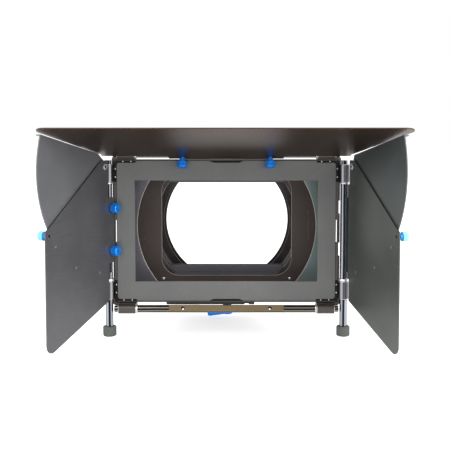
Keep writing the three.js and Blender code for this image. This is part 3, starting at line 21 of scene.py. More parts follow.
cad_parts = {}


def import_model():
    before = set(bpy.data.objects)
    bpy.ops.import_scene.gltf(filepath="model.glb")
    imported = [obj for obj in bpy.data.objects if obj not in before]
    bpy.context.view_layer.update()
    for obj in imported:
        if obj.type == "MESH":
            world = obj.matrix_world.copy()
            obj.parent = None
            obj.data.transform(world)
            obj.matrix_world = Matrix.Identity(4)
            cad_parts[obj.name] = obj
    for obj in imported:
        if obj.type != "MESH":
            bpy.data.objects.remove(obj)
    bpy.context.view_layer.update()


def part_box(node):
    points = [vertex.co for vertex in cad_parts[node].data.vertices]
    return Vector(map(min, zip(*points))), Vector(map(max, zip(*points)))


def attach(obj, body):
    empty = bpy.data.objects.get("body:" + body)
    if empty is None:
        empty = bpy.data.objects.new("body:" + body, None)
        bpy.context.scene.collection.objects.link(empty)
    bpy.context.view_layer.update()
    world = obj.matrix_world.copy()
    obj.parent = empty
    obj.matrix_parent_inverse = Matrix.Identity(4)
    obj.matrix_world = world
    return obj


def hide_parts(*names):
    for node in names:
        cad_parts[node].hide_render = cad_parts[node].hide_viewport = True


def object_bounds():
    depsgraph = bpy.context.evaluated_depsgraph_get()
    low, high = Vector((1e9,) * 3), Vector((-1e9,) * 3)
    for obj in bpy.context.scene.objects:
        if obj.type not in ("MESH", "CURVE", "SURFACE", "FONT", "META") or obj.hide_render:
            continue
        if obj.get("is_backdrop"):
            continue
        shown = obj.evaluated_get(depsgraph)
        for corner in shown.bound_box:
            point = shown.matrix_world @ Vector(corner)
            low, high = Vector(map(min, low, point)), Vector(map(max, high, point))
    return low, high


LOG = logging.getLogger("matte_box")
MM = 0.001
# How far a cutting tool reaches past the surface that it cuts
OVERRUN = 4.0
# How far a joined part keeps off a face that it would share, and the edge of a cutting tool
HAIR = 0.02
# The most that a fillet takes of an edge at each end is one over this
FILLET_ROOM = 2.01
# Degrees: an edge is eased where it is sharper, and shaded smooth where it is blunter
EASED_ABOVE, SMOOTH_BELOW = 32, 50
# Play in a test of where a face is, and a smaller one where another face is close
NEAR, CLOSE = 0.1, 0.05
# Share of an axis in a normal from which a face is flat to it, looks along it, or leans towards it
FLAT, FACING, LEANING = 0.98, 0.9, 0.7
# Faces of every flag's sheet, from the axis of its rod
SHEET_INNER, SHEET_OUTER = 2.6, 3.8
# Brushed marks run level, about twelve times as long as they are high
BRUSHED = (0.08, 0.08, 1.0)
WHITE = (1.0, 1.0, 1.0, 1.0)

Point = tuple[float, float]
Corner = tuple[float, float, float]
Test = Callable[[Vector, Vector], bool]
Object = bpy.types.Object
Material = bpy.types.Material
Tree = bpy.types.NodeTree
Socket = bpy.types.NodeSocket
Outputs = bpy.types.NodeOutputs
Values = dict[str | int, Any]


class Axis(Enum):
    """Axis that a turned piece is made about, as the rotation that brings the lathe's Z onto it."""

    X = Matrix.Rotation(math.pi / 2, 4, "Y")
    Y = Matrix.Rotation(-math.pi / 2, 4, "X")
    Z = Matrix.Identity(4)


class Side(Enum):
    """Left or right as the camera sees the box, as the sign of X."""

    LEFT = -1
    RIGHT = 1

    @property
    def word(self) -> str:
        """The side's name as the CAD nodes write it."""
        return self.name.lower()


class Solver(Enum):
    """How two solids are put together."""

    JOIN = "UNION"
    CUT = "DIFFERENCE"


# Outlines


def arc(centre: Point, radius: float, start: float, end: float, steps: int) -> list[Point]:
    """Points on an arc.

    Args:
        centre: Middle of the circle.
        radius: Its radius.
        start: First angle in degrees, from X towards the second axis.
        end: Last angle in degrees.
        steps: Number of chords.

    Returns:
        The points, both ends included.
    """
    angles = [math.radians(start + (end - start) * i / steps) for i in range(steps + 1)]
    return [(centre[0] + radius * math.cos(a), centre[1] + radius * math.sin(a)) for a in angles]


def circle(radius: float, centre: Point = (0.0, 0.0), steps: int = 24) -> list[Point]:
    """Points of a full circle, without a repeated end."""
    return arc(centre, radius, 0, 360, steps)[:-1]


def filleted(corners: Sequence[Corner], steps: int = 8) -> list[Point]:
    """Rounds the corners of a polygon.

    Args:
        corners: Each corner as its two coordinates and the radius of its rounding.
        steps: Number of chords in each rounding.

    Returns:
        The outline with an arc at each corner that has a radius.
    """
    outline: list[Point] = []
    for i, (x, z, radius) in enumerate(corners):
        corner = Vector((x, z))
        before = Vector(corners[i - 1][:2]) - corner
        after = Vector(corners[(i + 1) % len(corners)][:2]) - corner
        if radius <= 0:
            outline.append((x, z))
            continue
        half = before.angle(after) / 2
        # A rounding takes a little under half of each side, so that two of them never meet
        reach = min(radius / math.tan(half), before.length / FILLET_ROOM, after.length / FILLET_ROOM)
        rounding = reach * math.tan(half)
        before.normalize()
        after.normalize()
        middle = corner + (before + after).normalized() * (rounding / math.sin(half))
        first = corner + before * reach - middle
        turn = first.angle_signed(corner + after * reach - middle)
        for k in range(steps + 1):
            spoke = Matrix.Rotation(-turn * k / steps, 2) @ first
            outline.append((middle.x + spoke.x, middle.y + spoke.y))
    return outline


def rounded_box(
    half_w: float, half_h: float, radius: float, middle: Point = (0.0, 0.0), steps: int = 8
) -> list[Point]:
    """Outline of a rectangle with rounded corners about its middle.

    Args:
        half_w: Half its width.
        half_h: Half its height.
        radius: Radius of its corners.
        middle: Where its middle is.
        steps: Chords in each corner.

    Returns:
        The points, counter-clockwise.
    """
    x, z = middle
    signs = ((1, -1), (1, 1), (-1, 1), (-1, -1))
    return filleted([(x + sx * half_w, z + sz * half_h, radius) for sx, sz in signs], steps)


def both_halves(half: Sequence[Corner], flip: Point = (-1, 1)) -> list[Corner]:
    """Corners of a whole outline, from those of one half and the signs that make the other half."""
    return [*half, *((flip[0] * x, flip[1] * z, r) for x, z, r in reversed(half))]


def eased(profile: Sequence[Point], radius: float, closed: bool = False) -> list[Point]:
    """Rounds the corners of a lathe profile, but not the ends of an open one.

    Args:
        profile: Pairs of radius and place along the axis.
        radius: Rounding of each corner.
        closed: Whether the last point joins the first.

    Returns:
        The profile with rounded corners.
    """
    ends = () if closed else (0, len(profile) - 1)
    return filleted([(r, y, 0.0 if i in ends else radius) for i, (r, y) in enumerate(profile)], 3)


def shaft(radius: float, start: float, end: float) -> list[Point]:
    """Profile of a plain round bar."""
    return [(0, start), (radius, start), (radius, end), (0, end)]


def tube(bore: float, radius: float, start: float, end: float) -> list[Point]:
    """Profile of a plain tube."""
    return [(bore, start), (radius, start), (radius, end), (bore, end)]


def dome(radius: float, height: float, top: float, angles: Sequence[float]) -> list[Point]:
    """Profile of a domed head, from its middle to its rim."""
    return [(radius * math.sin(a), top + height * (1 - math.cos(a))) for a in (*angles, math.pi / 2)]


# Meshes


def link(name: str, data: bpy.types.ID) -> Object:
    """A new object in the scene that holds the data.

    Args:
        name: Name of the new object.
        data: Mesh, lamp or other data that it holds.

    Returns:
        The object, linked to the scene.
    """
    made = bpy.data.objects.new(name, data)
    bpy.context.scene.collection.objects.link(made)
    return made


def from_bmesh(name: str, shape: bmesh.types.BMesh, place: Matrix) -> Object:
    """Writes a bmesh to a new object whose mesh is set down in the row frame.

    Args:
        name: Name of the new object.
        shape: The bmesh, which is freed.
        place: Axes of the shape, with any scale that it needs.

    Returns:
        The object.
    """
    bmesh.ops.recalc_face_normals(shape, faces=shape.faces)
    mesh = bpy.data.meshes.new(name)
    shape.to_mesh(mesh)
    shape.free()
    mesh.transform(place)
    if place.determinant() < 0:
        mesh.flip_normals()
    return link(name, mesh)


def sheet(
    name: str,
    outline: Sequence[Point],
    depth: Point,
    place: Matrix,
    holes: Sequence[Sequence[Point]] = (),
    edge: float = 0.3,
) -> Object:
    """A flat piece cut to an outline in X and Z, with eased edges.

    Args:
        name: Name of the new object.
        outline: Its outer edge.
        depth: Y of its two faces.
        place: Where the local axes stand.
        holes: Outlines of its openings.
        edge: Rounding of all its edges.

    Returns:
        The new object.
    """
    front, back = depth
    curve = bpy.data.curves.new(name, "CURVE")
    curve.dimensions = "2D"
    curve.fill_mode = "BOTH"
    curve.extrude = (back - front) / 2 - edge
    curve.bevel_depth = edge
    curve.bevel_resolution = 1
    curve.offset = -edge
    for loop in (outline, *holes):
        spline = curve.splines.new("POLY")
        spline.points.add(len(loop) - 1)
        for point, (x, z) in zip(spline.points, loop):
            point.co = (x, z, 0, 1)
        spline.use_cyclic_u = True
    drawn = link(name, curve)
    graph = bpy.context.evaluated_depsgraph_get()
    mesh = bpy.data.meshes.new_from_object(drawn.evaluated_get(graph))
    shape = bmesh.new()
    shape.from_mesh(mesh)
    bpy.data.objects.remove(drawn)
    bpy.data.curves.remove(curve)
    bpy.data.meshes.remove(mesh)
    bmesh.ops.remove_doubles(shape, verts=shape.verts, dist=edge / 100)
    upright = Matrix.Translation((0, (front + back) / 2, 0)) @ Matrix.Rotation(math.pi / 2, 4, "X")
    return from_bmesh(name, shape, place @ upright)


@dataclass(frozen=True)
class Knurl:
    """Flutes round a turned rim: the stretch of the axis that has them, their number and their depth."""

    start: float
    end: float
    count: int = 36
    depth: float = 0.22


def turned(
    name: str,
    profile: Sequence[Point],
    place: Matrix,
    axis: Axis = Axis.Y,
    closed: bool = False,
    segments: int = 48,
    knurl: Knurl | None = None,
) -> Object:
    """A piece turned on a lathe.

    Args:
        name: Name of the new object.
        profile: Pairs of radius and place along the axis.
        place: Where the local axes stand.
        axis: Axis that it is turned about.
        closed: Whether the profile closes on itself, as in a ring.
        segments: Facets round the circle.
        knurl: Flutes on its rim, if it has any.

    Returns:
        The new object.
    """
    count = 4 * knurl.count if knurl else segments
    shape = bmesh.new()
    rings: list[list[bmesh.types.BMVert]] = []
    for radius, along in profile:
        if radius <= 0:
            rings.append([shape.verts.new((0, 0, along))])
            continue
        ring = []
        for k in range(count):
            # Two facets of four are cut back, which makes a flute
            fluted = knurl and k % 4 < 2 and knurl.start <= along <= knurl.end
            reach = radius - knurl.depth if fluted else radius
            angle = 2 * math.pi * k / count
            ring.append(shape.verts.new((reach * math.cos(angle), reach * math.sin(angle), along)))
        rings.append(ring)
    for low, high in zip(rings, rings[1:] + (rings[:1] if closed else [])):
        for k in range(count):
            after = (k + 1) % count
            if len(low) == 1:
                corners = [low[0], high[after], high[k]]
            elif len(high) == 1:
                corners = [low[k], low[after], high[0]]
            else:
                corners = [low[k], low[after], high[after], high[k]]
            shape.faces.new(corners)
    return from_bmesh(name, shape, place @ axis.value)


def block(name: str, low: Sequence[float], high: Sequence[float], place: Matrix) -> Object:
    """A block between two corners, with sharp edges that a later easing rounds.

    Args:
        name: Name of the new object.
        low: Corner with the lowest coordinates.
        high: The opposite corner.
        place: Axes of both corners.

    Returns:
        The block.
    """
    shape = bmesh.new()
    bmesh.ops.create_cube(shape, size=1)
    for vert in shape.verts:
        vert.co = [(a + b) / 2 + c * (b - a) for a, b, c in zip(low, high, vert.co)]
    return from_bmesh(name, shape, place)


def settle(made: Object) -> Object:
    """Applies all modifiers of an object to its mesh.

    Args:
        made: The object.

    Returns:
        The same object, without modifiers.
    """
    graph = bpy.context.evaluated_depsgraph_get()
    mesh = bpy.data.meshes.new_from_object(made.evaluated_get(graph))
    made.modifiers.clear()
    old = made.data
    made.data = mesh
    bpy.data.meshes.remove(old)
    mesh.name = made.name
    return made


def combined(base: Object, tools: Sequence[Object], how: Solver) -> Object:
    """Joins tools to a solid, or cuts them out of it, and removes them.

    Args:
        base: The solid.
        tools: The solids that it uses up.
        how: Whether they are joined or cut out.

    Returns:
        The solid.
    """
    for tool in tools:
        step = base.modifiers.new("step", "BOOLEAN")
        step.operation = how.value
        step.solver = "EXACT"
        step.object = tool
    settle(base)
    for tool in tools:
        bpy.data.objects.remove(tool)
    return base


def ease_edges(made: Object, width: float) -> Object:
    """Rounds all edges of a solid that are sharper than a lathe facet, by a width in millimetres.

    Args:
        made: The solid.
        width: How wide an edge is.

    Returns:
        The solid.
    """
    bevel = made.modifiers.new("edges", "BEVEL")
    bevel.limit_method = "ANGLE"
    bevel.angle_limit = math.radians(EASED_ABOVE)
    bevel.width = width * MM
    bevel.segments = 2
    bevel.use_clamp_overlap = True
    return settle(made)


def smooth(made: Object) -> Object:
    """Shades curved stretches smooth and keeps flat faces flat up to their eased edges.

    Args:
        made: The object.

    Returns:
        The same object.
    """
    made.data.shade_smooth()
    made.data.set_sharp_from_angle(angle=math.radians(SMOOTH_BELOW))
    weigh = made.modifiers.new("weigh", "WEIGHTED_NORMAL")
    weigh.keep_sharp = True
    return settle(made)


# Finishes


def linear(code: str) -> tuple[float, float, float, float]:
    """Turns an sRGB hex colour into the linear one that the shaders take."""
    parts = [int(code[i : i + 2], 16) / 255 for i in (1, 3, 5)]
    return (*[p / 12.92 if p <= 0.04045 else ((p + 0.055) / 1.055) ** 2.4 for p in parts], 1.0)


def add_node(tree: Tree, kind: str, values: Values | None = None, **settings: Any) -> Outputs:
    """Adds a shader node with its settings, its values and its links.

    Args:
        tree: Node tree of a material or the world.
        kind: Blender's name of the node type, without the word ShaderNode.
        values: Per input, a plain value or another node's output socket.
        **settings: Properties of the node.

    Returns:
        The new node's outputs.
    """
    node = tree.nodes.new(f"ShaderNode{kind}")
    for key, value in settings.items():
        setattr(node, key, value)
    for key, value in (values or {}).items():
        if isinstance(value, Socket):
            tree.links.new(value, node.inputs[key])
        else:
            node.inputs[key].default_value = value
    return node.outputs


def bare_material(name: str) -> tuple[Material, Tree]:
    """A material with an empty node tree.

    Args:
        name: Name of the material.

    Returns:
        The material and its node tree.
    """
    material = bpy.data.materials.new(name)
    material.use_nodes = True
    material.node_tree.nodes.clear()
    return material, material.node_tree


@dataclass(frozen=True)
class Surface:
    """A finish in two colours, whose material is made when it is first asked for."""

    name: str
    colour: str
    second_colour: str

    @cached_property
    def material(self) -> Material:
        """The finish as a material.

        Returns:
            The material, made once and kept.
        """
        material, tree = bare_material(self.name)
        share, values = self.pattern(tree)
        # A Mix node's colours are its seventh and eighth inputs and its third output
        colours = {0: share, 6: linear(self.colour), 7: linear(self.second_colour)}
        values["Base Color"] = add_node(tree, "Mix", colours, data_type="RGBA")[2]
        surface = add_node(tree, "BsdfPrincipled", values)["BSDF"]
        add_node(tree, "OutputMaterial", {"Surface": surface})
        return material

    def pattern(self, tree: Tree) -> tuple[Socket, Values]:
        """Draws the finish.

        Args:
            tree: Node tree of the material.

        Returns:
            The share of the second colour, and the surface's other values.
        """
        raise NotImplementedError


@dataclass(frozen=True)
class Finish(Surface):
    """A surface of one colour with a fine grain in its colour, its gloss and its relief.

    Sizes are in millimetres. The stretch draws the grain out along each axis, for turned or brushed marks.
    """

    metallic: float
    roughness: float
    grain: float
    relief: float
    gloss_spread: float = 0.06
    patch: float = 40.0
    stretch: tuple[float, float, float] = (1.0, 1.0, 1.0)

    def pattern(self, tree: Tree) -> tuple[Socket, Values]:
        """Draws a fine grain that is patchy from place to place.

        Args:
            tree: Node tree of the material.

        Returns:
            The share of the second colour, and the surface's other values.
        """
        where = add_node(tree, "TexCoord")["Object"]
        drawn = add_node(tree, "Mapping", {"Vector": where, "Scale": self.stretch})["Vector"]
        grain = {"Vector": drawn, "Scale": 1 / (self.grain * MM), "Detail": 3.0, "Roughness": 0.6}
        fine = add_node(tree, "TexNoise", grain)["Fac"]
        patches = {"Vector": where, "Scale": 1 / (self.patch * MM), "Detail": 2.0}
        broad = add_node(tree, "TexNoise", patches)["Fac"]
        gloss = {
            "Value": fine,
            "From Min": 0.3,
            "From Max": 0.7,
            "To Min": self.roughness - self.gloss_spread,
            "To Max": self.roughness + self.gloss_spread,
        }
        shade = add_node(tree, "Math", {0: fine, 1: broad}, operation="MULTIPLY")["Value"]
        share = add_node(tree, "MapRange", {"Value": shade, "From Min": 0.12, "From Max": 0.42})["Result"]
        relief = {"Height": fine, "Strength": 0.6, "Distance": self.relief * MM}
        return share, {
            "Metallic": self.metallic,
            "Roughness": add_node(tree, "MapRange", gloss)["Result"],
            "Normal": add_node(tree, "Bump", relief)["Normal"],
        }


@dataclass(frozen=True)
class ReflectionBands(Surface):
    """A bar drawn and polished along its length, with light and dark bands that run along it.

    The light and dark bands are painted reflections. The period of the bands is in millimetres, measured
    across the bar. The crest is a place in millimetres where a light band stands at rest.
    """

    period: float
    crest: float
    across: str
    roughness: float = 0.2
    softness: float = 0.3
    waver: float = 0.6

    def pattern(self, tree: Tree) -> tuple[Socket, Values]:
        """Draws the bands.

        Args:
            tree: Node tree of the material.

        Returns:
            The share of the second colour, and the surface's other values.
        """
        # The Wave texture turns through twenty radians for each unit of its scale
        turns = 2 * math.pi / (self.period * MM)
        waves = {
            "Vector": add_node(tree, "TexCoord")["Object"],
            "Scale": turns / 20,
            "Phase Offset": math.pi / 2 - turns * self.crest * MM,
            "Distortion": self.waver,
            "Detail Scale": 0.3,
        }
        bands = add_node(tree, "TexWave", waves, bands_direction=self.across)["Fac"]
        blend = {"Value": bands, "From Min": 0.5 - self.softness, "From Max": 0.5 + self.softness}
        return add_node(tree, "MapRange", blend)["Result"], {"Metallic": 1.0, "Roughness": self.roughness}


class Finishes:
    """Every finish of the box."""

    # Aluminium, blasted and anodised dark bronze: satin, a little brown
    bezel = Finish("bronze_anodised_aluminium", "#3A3633", "#4A4541", 0.35, 0.42, 0.5, 0.01)
    # Aluminium sheet, powder coated grey: even, fine-grained and soft in its gloss
    mask = Finish("grey_powder_coated_sheet", "#5B5C5B", "#666765", 0.1, 0.5, 1.2, 0.02)
    # Aluminium, anodised black and left matt against stray light
    hood = Finish("matt_black_anodised_aluminium", "#2B292A", "#353234", 0.2, 0.55, 0.5, 0.012)
    # Aluminium sheet with a satin coat. Painted light: the right crescent is painted lighter and greener than
    # the left, for the light that falls into the hood
    baffle = {
        Side.LEFT: Finish("left_baffle_painted_shade", "#6A686F", "#757279", 0.2, 0.42, 0.8, 0.01),
        Side.RIGHT: Finish("satin_green_grey_baffle_sheet", "#768484", "#818F8F", 0.2, 0.42, 0.8, 0.01),
    }
    # Steel sheet, painted flat brown-black: hides light, with a dusty grain
    wall = Finish("flat_brown_painted_sheet", "#382D29", "#433834", 0.0, 0.62, 0.8, 0.02)
    # Bottom of the wall's two scribed lines: painted a paler brown-grey than the wall
    slit = Finish("pale_brown_line_paint", "#7A6C67", "#8A7C76", 0.0, 0.7, 0.5, 0.01)
    # Painted highlight: a light line along the crescents' eased arc edges, which catch the light
    painted_edge_highlight = Finish("edge_painted_highlight", "#A8A49F", "#C4C0BB", 0.6, 0.35, 0.8, 0.01)
    # Aluminium, anodised grey-black: satin filter trays
    tray = Finish("grey_anodised_tray", "#504E52", "#5A585C", 0.3, 0.45, 0.8, 0.01)
    # Aluminium, machined and anodised black: the deepest satin black on the box
    black = Finish("black_anodised_aluminium", "#1E1D1E", "#2A292A", 0.3, 0.38, 0.4, 0.008)
    # Aluminium, anodised brown-black and satin: the stage and its rings
    stage = Finish("brown_black_anodised_aluminium", "#29211F", "#342B28", 0.3, 0.4, 0.4, 0.008)
    # Painted highlight: a light brown line on the eased edge round the opening of the wall
    painted_opening_highlight = Finish("rubbed_brown_paint", "#77706C", "#8D8580", 0.4, 0.4, 0.8, 0.01)
    # Aluminium rivets, clear anodised: dull grey
    rivet = Finish("clear_anodised_rivet", "#6E6E72", "#7E7E82", 0.45, 0.42, 0.3, 0.003)
    # Hollow rivets of the fans, rolled over and clear anodised: a light satin ring
    eyelet = Finish("clear_anodised_eyelet", "#B0B0B6", "#C2C2C8", 0.3, 0.42, 0.3, 0.003)
    # Painted shade: black on the bezel's recess and slot floors, the rods' hole walls, a knob's stem, the
    # eyelets' bores and the flags' sloping edges
    painted_shade = Finish("painted_shade_black", "#040404", "#080808", 0.0, 0.8, 0.5, 0.01)
    # Die-cast zinc, plated dark and tumbled: warm grey with soft highlights
    bracket = Finish("dark_plated_zinc_casting", "#46413D", "#554F4A", 0.7, 0.36, 0.9, 0.02)
    # The same casting where a tool has faced it: bright fresh metal
    machined = Finish("faced_zinc", "#D9D5D6", "#ECE8E9", 0.8, 0.3, 0.2, 0.004)
    # Sleeves turned and polished after plating: grey with soft light streaks along them, painted as
    # reflections
    sleeve = ReflectionBands("polished_sleeve", "#403B38", "#95959B", 4.386, 113.15, "X", 0.3, 0.5)
    # Stainless rods, drawn and polished: dark with long bright streaks, both painted as reflections of a dark
    # room and of lamps
    upright_steel = ReflectionBands("black_chromed_upright_rod", "#121318", "#94969F", 4.386, 113.15, "X")
    level_steel = ReflectionBands("black_chromed_level_rod", "#0E0D0B", "#76726A", 3.2, 8.6, "Z")
    # Flat milled on the rod: a dull khaki, a painted reflection
    milled_flat = Finish("chromated_milled_flat", "#625235", "#6A5A3E", 0.5, 0.42, 0.5, 0.004)
    # Small screws, nickel plated: bright
    screw = Finish("nickel_plated_steel", "#D6D4DA", "#E6E4EA", 0.8, 0.28, 0.3, 0.003)
    # Aluminium sheet, anodised brown-black: its satin metal mirrors what is near it, warmly tinted
    flag = Finish("brown_anodised_flag_sheet", "#46362C", "#534136", 0.85, 0.38, 0.8, 0.006, 0.04)
    # Aluminium sheet, brushed level and anodised grey: fine level marks, soft reflections. Painted light: the
    # left flag is painted lighter and the right one darker and greener, as the light falls on them
    wing = {
        Side.LEFT: Finish(
            "left_flag_painted_light", "#565659", "#636366", 0.45, 0.42, 1.1, 0.007, stretch=BRUSHED
        ),
        Side.RIGHT: Finish(
            "right_flag_painted_shade", "#4E514E", "#5A5D5A", 0.45, 0.42, 1.1, 0.007, stretch=BRUSHED
        ),
    }
    # Aluminium sheet, blasted and anodised grey: a fine sparkle. Painted light: the left fan is painted a
    # little lighter than the flags and the right one darker and greener, as the light falls on them
    fan = {
        Side.LEFT: Finish("left_fan_painted_light", "#6F7073", "#7C7D80", 0.4, 0.42, 1.4, 0.02),
        Side.RIGHT: Finish("right_fan_painted_shade", "#4E5352", "#5A5E5D", 0.4, 0.42, 1.4, 0.02),
    }
    # Aluminium, turned, blasted and dyed blue in the anodising bath: deep colour with a metal's highlight
    blue = Finish("blue_anodised_aluminium", "#0F88FF", "#249AFF", 0.5, 0.26, 0.3, 0.005)
    # The same blue anodising, painted pale and cyan: a lit copy for knobs in strong light
    blue_painted_lit = Finish("blue_anodised_painted_lit", "#78D0E4", "#94DDE9", 0.3, 0.34, 0.3, 0.005)
    # Moulded rubber, grey with a green cast: matt and dry
    foot = Finish("moulded_grey_rubber", "#4D524E", "#555954", 0.0, 0.78, 0.8, 0.03)
    # Moulded black rubber of the lens ring: matt, with a fine tooth
    seal = Finish("moulded_black_rubber", "#1B1B1B", "#242424", 0.0, 0.7, 0.8, 0.03)


def paint_where(made: Object, finish: Surface, place: Matrix, test: Test) -> None:
    """Gives a second finish to the faces that pass a test.

    Args:
        made: The object, which has its main finish already.
        finish: The finish for the chosen faces.
        place: Local axes that the test is written in.
        test: Takes a face's middle in millimetres and its normal.
    """
    made.data.materials.append(finish.material)
    second = len(made.data.materials) - 1
    home = place.inverted()
    turn = home.to_3x3()
    for face in made.data.polygons:
        if test(home @ face.center, (turn @ face.normal).normalized()):
            face.material_index = second


def mount(made: Object, finish: Surface, body: str, slot: str, *nodes: str) -> Object:
    """Dresses a finished mesh and hangs it on its CAD body.

    Args:
        made: The object.
        finish: Its finish.
        body: CAD body that it rides on.
        slot: Material slot of the record; not used.
        *nodes: CAD nodes that it stands for.

    Returns:
        The same object.
    """
    made.data.materials.clear()
    made.data.materials.append(finish.material)
    smooth(made)
    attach(made, body)
    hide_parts(*nodes)
    LOG.info("%s: %d faces on %s", made.name, len(made.data.polygons), body)
    return made


# Places


@dataclass(frozen=True)
class Extent:
    """Box round a CAD node in millimetres, in the box's own axes."""

    left: float
    right: float
    front: float
    back: float
    bottom: float
    top: float

    @property
    def x(self) -> float:
        """Its middle from left to right."""
        return (self.left + self.right) / 2

    @property
    def y(self) -> float:
        """Its middle from front to back."""
        return (self.front + self.back) / 2

    @property
    def z(self) -> float:
        """Its middle from bottom to top."""
        return (self.bottom + self.top) / 2

    @property
    def depth(self) -> Point:
        """Its front and its back."""
        return self.front, self.back

    @property
    def through(self) -> Point:
        """Front and back of a tool that cuts right through it."""
        return self.front - OVERRUN, self.back + OVERRUN


@dataclass(frozen=True)
class Frame:
    """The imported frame's own axes: where the optical axis meets the mask's front face."""

    place: Matrix

    @classmethod
    def read(cls) -> Frame:
        """Finds the axes from the mask.

        Returns:
            The frame.
        """
        low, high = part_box("mask_plate")
        origin = Vector(((low.x + high.x) / 2, low.y, (low.z + high.z) / 2))
        return cls(Matrix.Translation(origin) @ Matrix.Scale(MM, 4))

    def extent(self, node: str) -> Extent:
        """Box round a CAD node.

        Args:
            node: Name of the node.

        Returns:
            The box, in this frame's axes.
        """
        home = self.place.inverted()
        low, high = (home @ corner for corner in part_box(node))
        return Extent(low.x, high.x, low.y, high.y, low.z, high.z)

    def hinge(self, rod: str, out: Vector, normal: Vector) -> Matrix:
        """Axes of a hinged group, on the rod that it turns with.

        Args:
            rod: CAD node of the rod, whose collars are round about its axis.
            out: Direction away from the hinge.
            normal: Direction that the rod's flat faces.

        Returns:
            The place, with the origin level with the optical axis.
        """
        along = out.cross(normal)
        low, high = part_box(rod)
        middle = (low + high) / 2
        middle += along * (along.dot(self.place.translation) - along.dot(middle))
        turn = Matrix((out, normal, along)).transposed().to_4x4()
        return Matrix.Translation(middle) @ turn @ Matrix.Scale(MM, 4)


@dataclass(frozen=True)
class Role:
    """A piece's own name, the CAD body that it rides on and the CAD node that it stands for."""

    name: str
    body: str
    node: str


@dataclass(frozen=True)
class Slit:
    """A narrow slot on both sides: how far out it is, half its width and length, and its corners' chords."""

    middle: float
    half_width: float
    half_length: float
    steps: int


@dataclass(frozen=True)
class Knuckle:
    """Round knuckles of the swing-away hinge, and half the heights of the arm's one and of its gap."""

    radius: float = 6.5
    bore: float = 3.1
    level: float = -85.0
    half: float = 6.1
    half_gap: float = 6.4


# Sub-assemblies


@dataclass
class Assembly:
    """A part of the box, drawn in axes of its own, whose pieces ride on one body unless another is named."""

    frame: Frame
    body = "housing"

    @property
    def place(self) -> Matrix:
        """Axes that the pieces are drawn in."""
        return self.frame.place

    def size(self, node: str) -> Extent:
        """Box round a CAD node."""
        return self.frame.extent(node)

    def at(self, x: float = 0.0, y: float = 0.0, z: float = 0.0) -> Matrix:
        """The part's axes, moved."""
        return self.place @ Matrix.Translation((x, y, z))

    def plate(
        self,
        name: str,
        outline: Sequence[Point],
        depth: Point,
        holes: Sequence[Sequence[Point]] = (),
        edge: float = 0.3,
    ) -> Object:
        """A sheet in the part's axes."""
        return sheet(name, outline, depth, self.place, holes, edge)

    def block(self, name: str, low: Sequence[float], high: Sequence[float]) -> Object:
        """A block in the part's axes."""
        return block(name, low, high, self.place)

    def slits(self, slit: Slit, depth: Point) -> list[Object]:
        """Tools that cut a slit on both sides.

        Args:
            slit: Sizes of the slit.
            depth: Where the tools start and end, front to back.

        Returns:
            The two tools.
        """
        tools = []
        for side in Side:
            spot = (side.value * slit.middle, 0.0)
            line = rounded_box(slit.half_width, slit.half_length, slit.half_width, spot, slit.steps)
            tools.append(self.plate("slit", line, depth, (), HAIR))
        return tools

    def dress(self, made: Object, finish: Surface, slot: str, node: str, body: str = "") -> None:
        """Dresses a piece and hangs it on the part's body, or on another one."""
        mount(made, finish, body or self.body, slot, node)

    def paint(self, made: Object, finish: Surface, test: Test) -> None:
        """Gives a second finish to the faces that pass a test in the part's axes."""
        paint_where(made, finish, self.place, test)


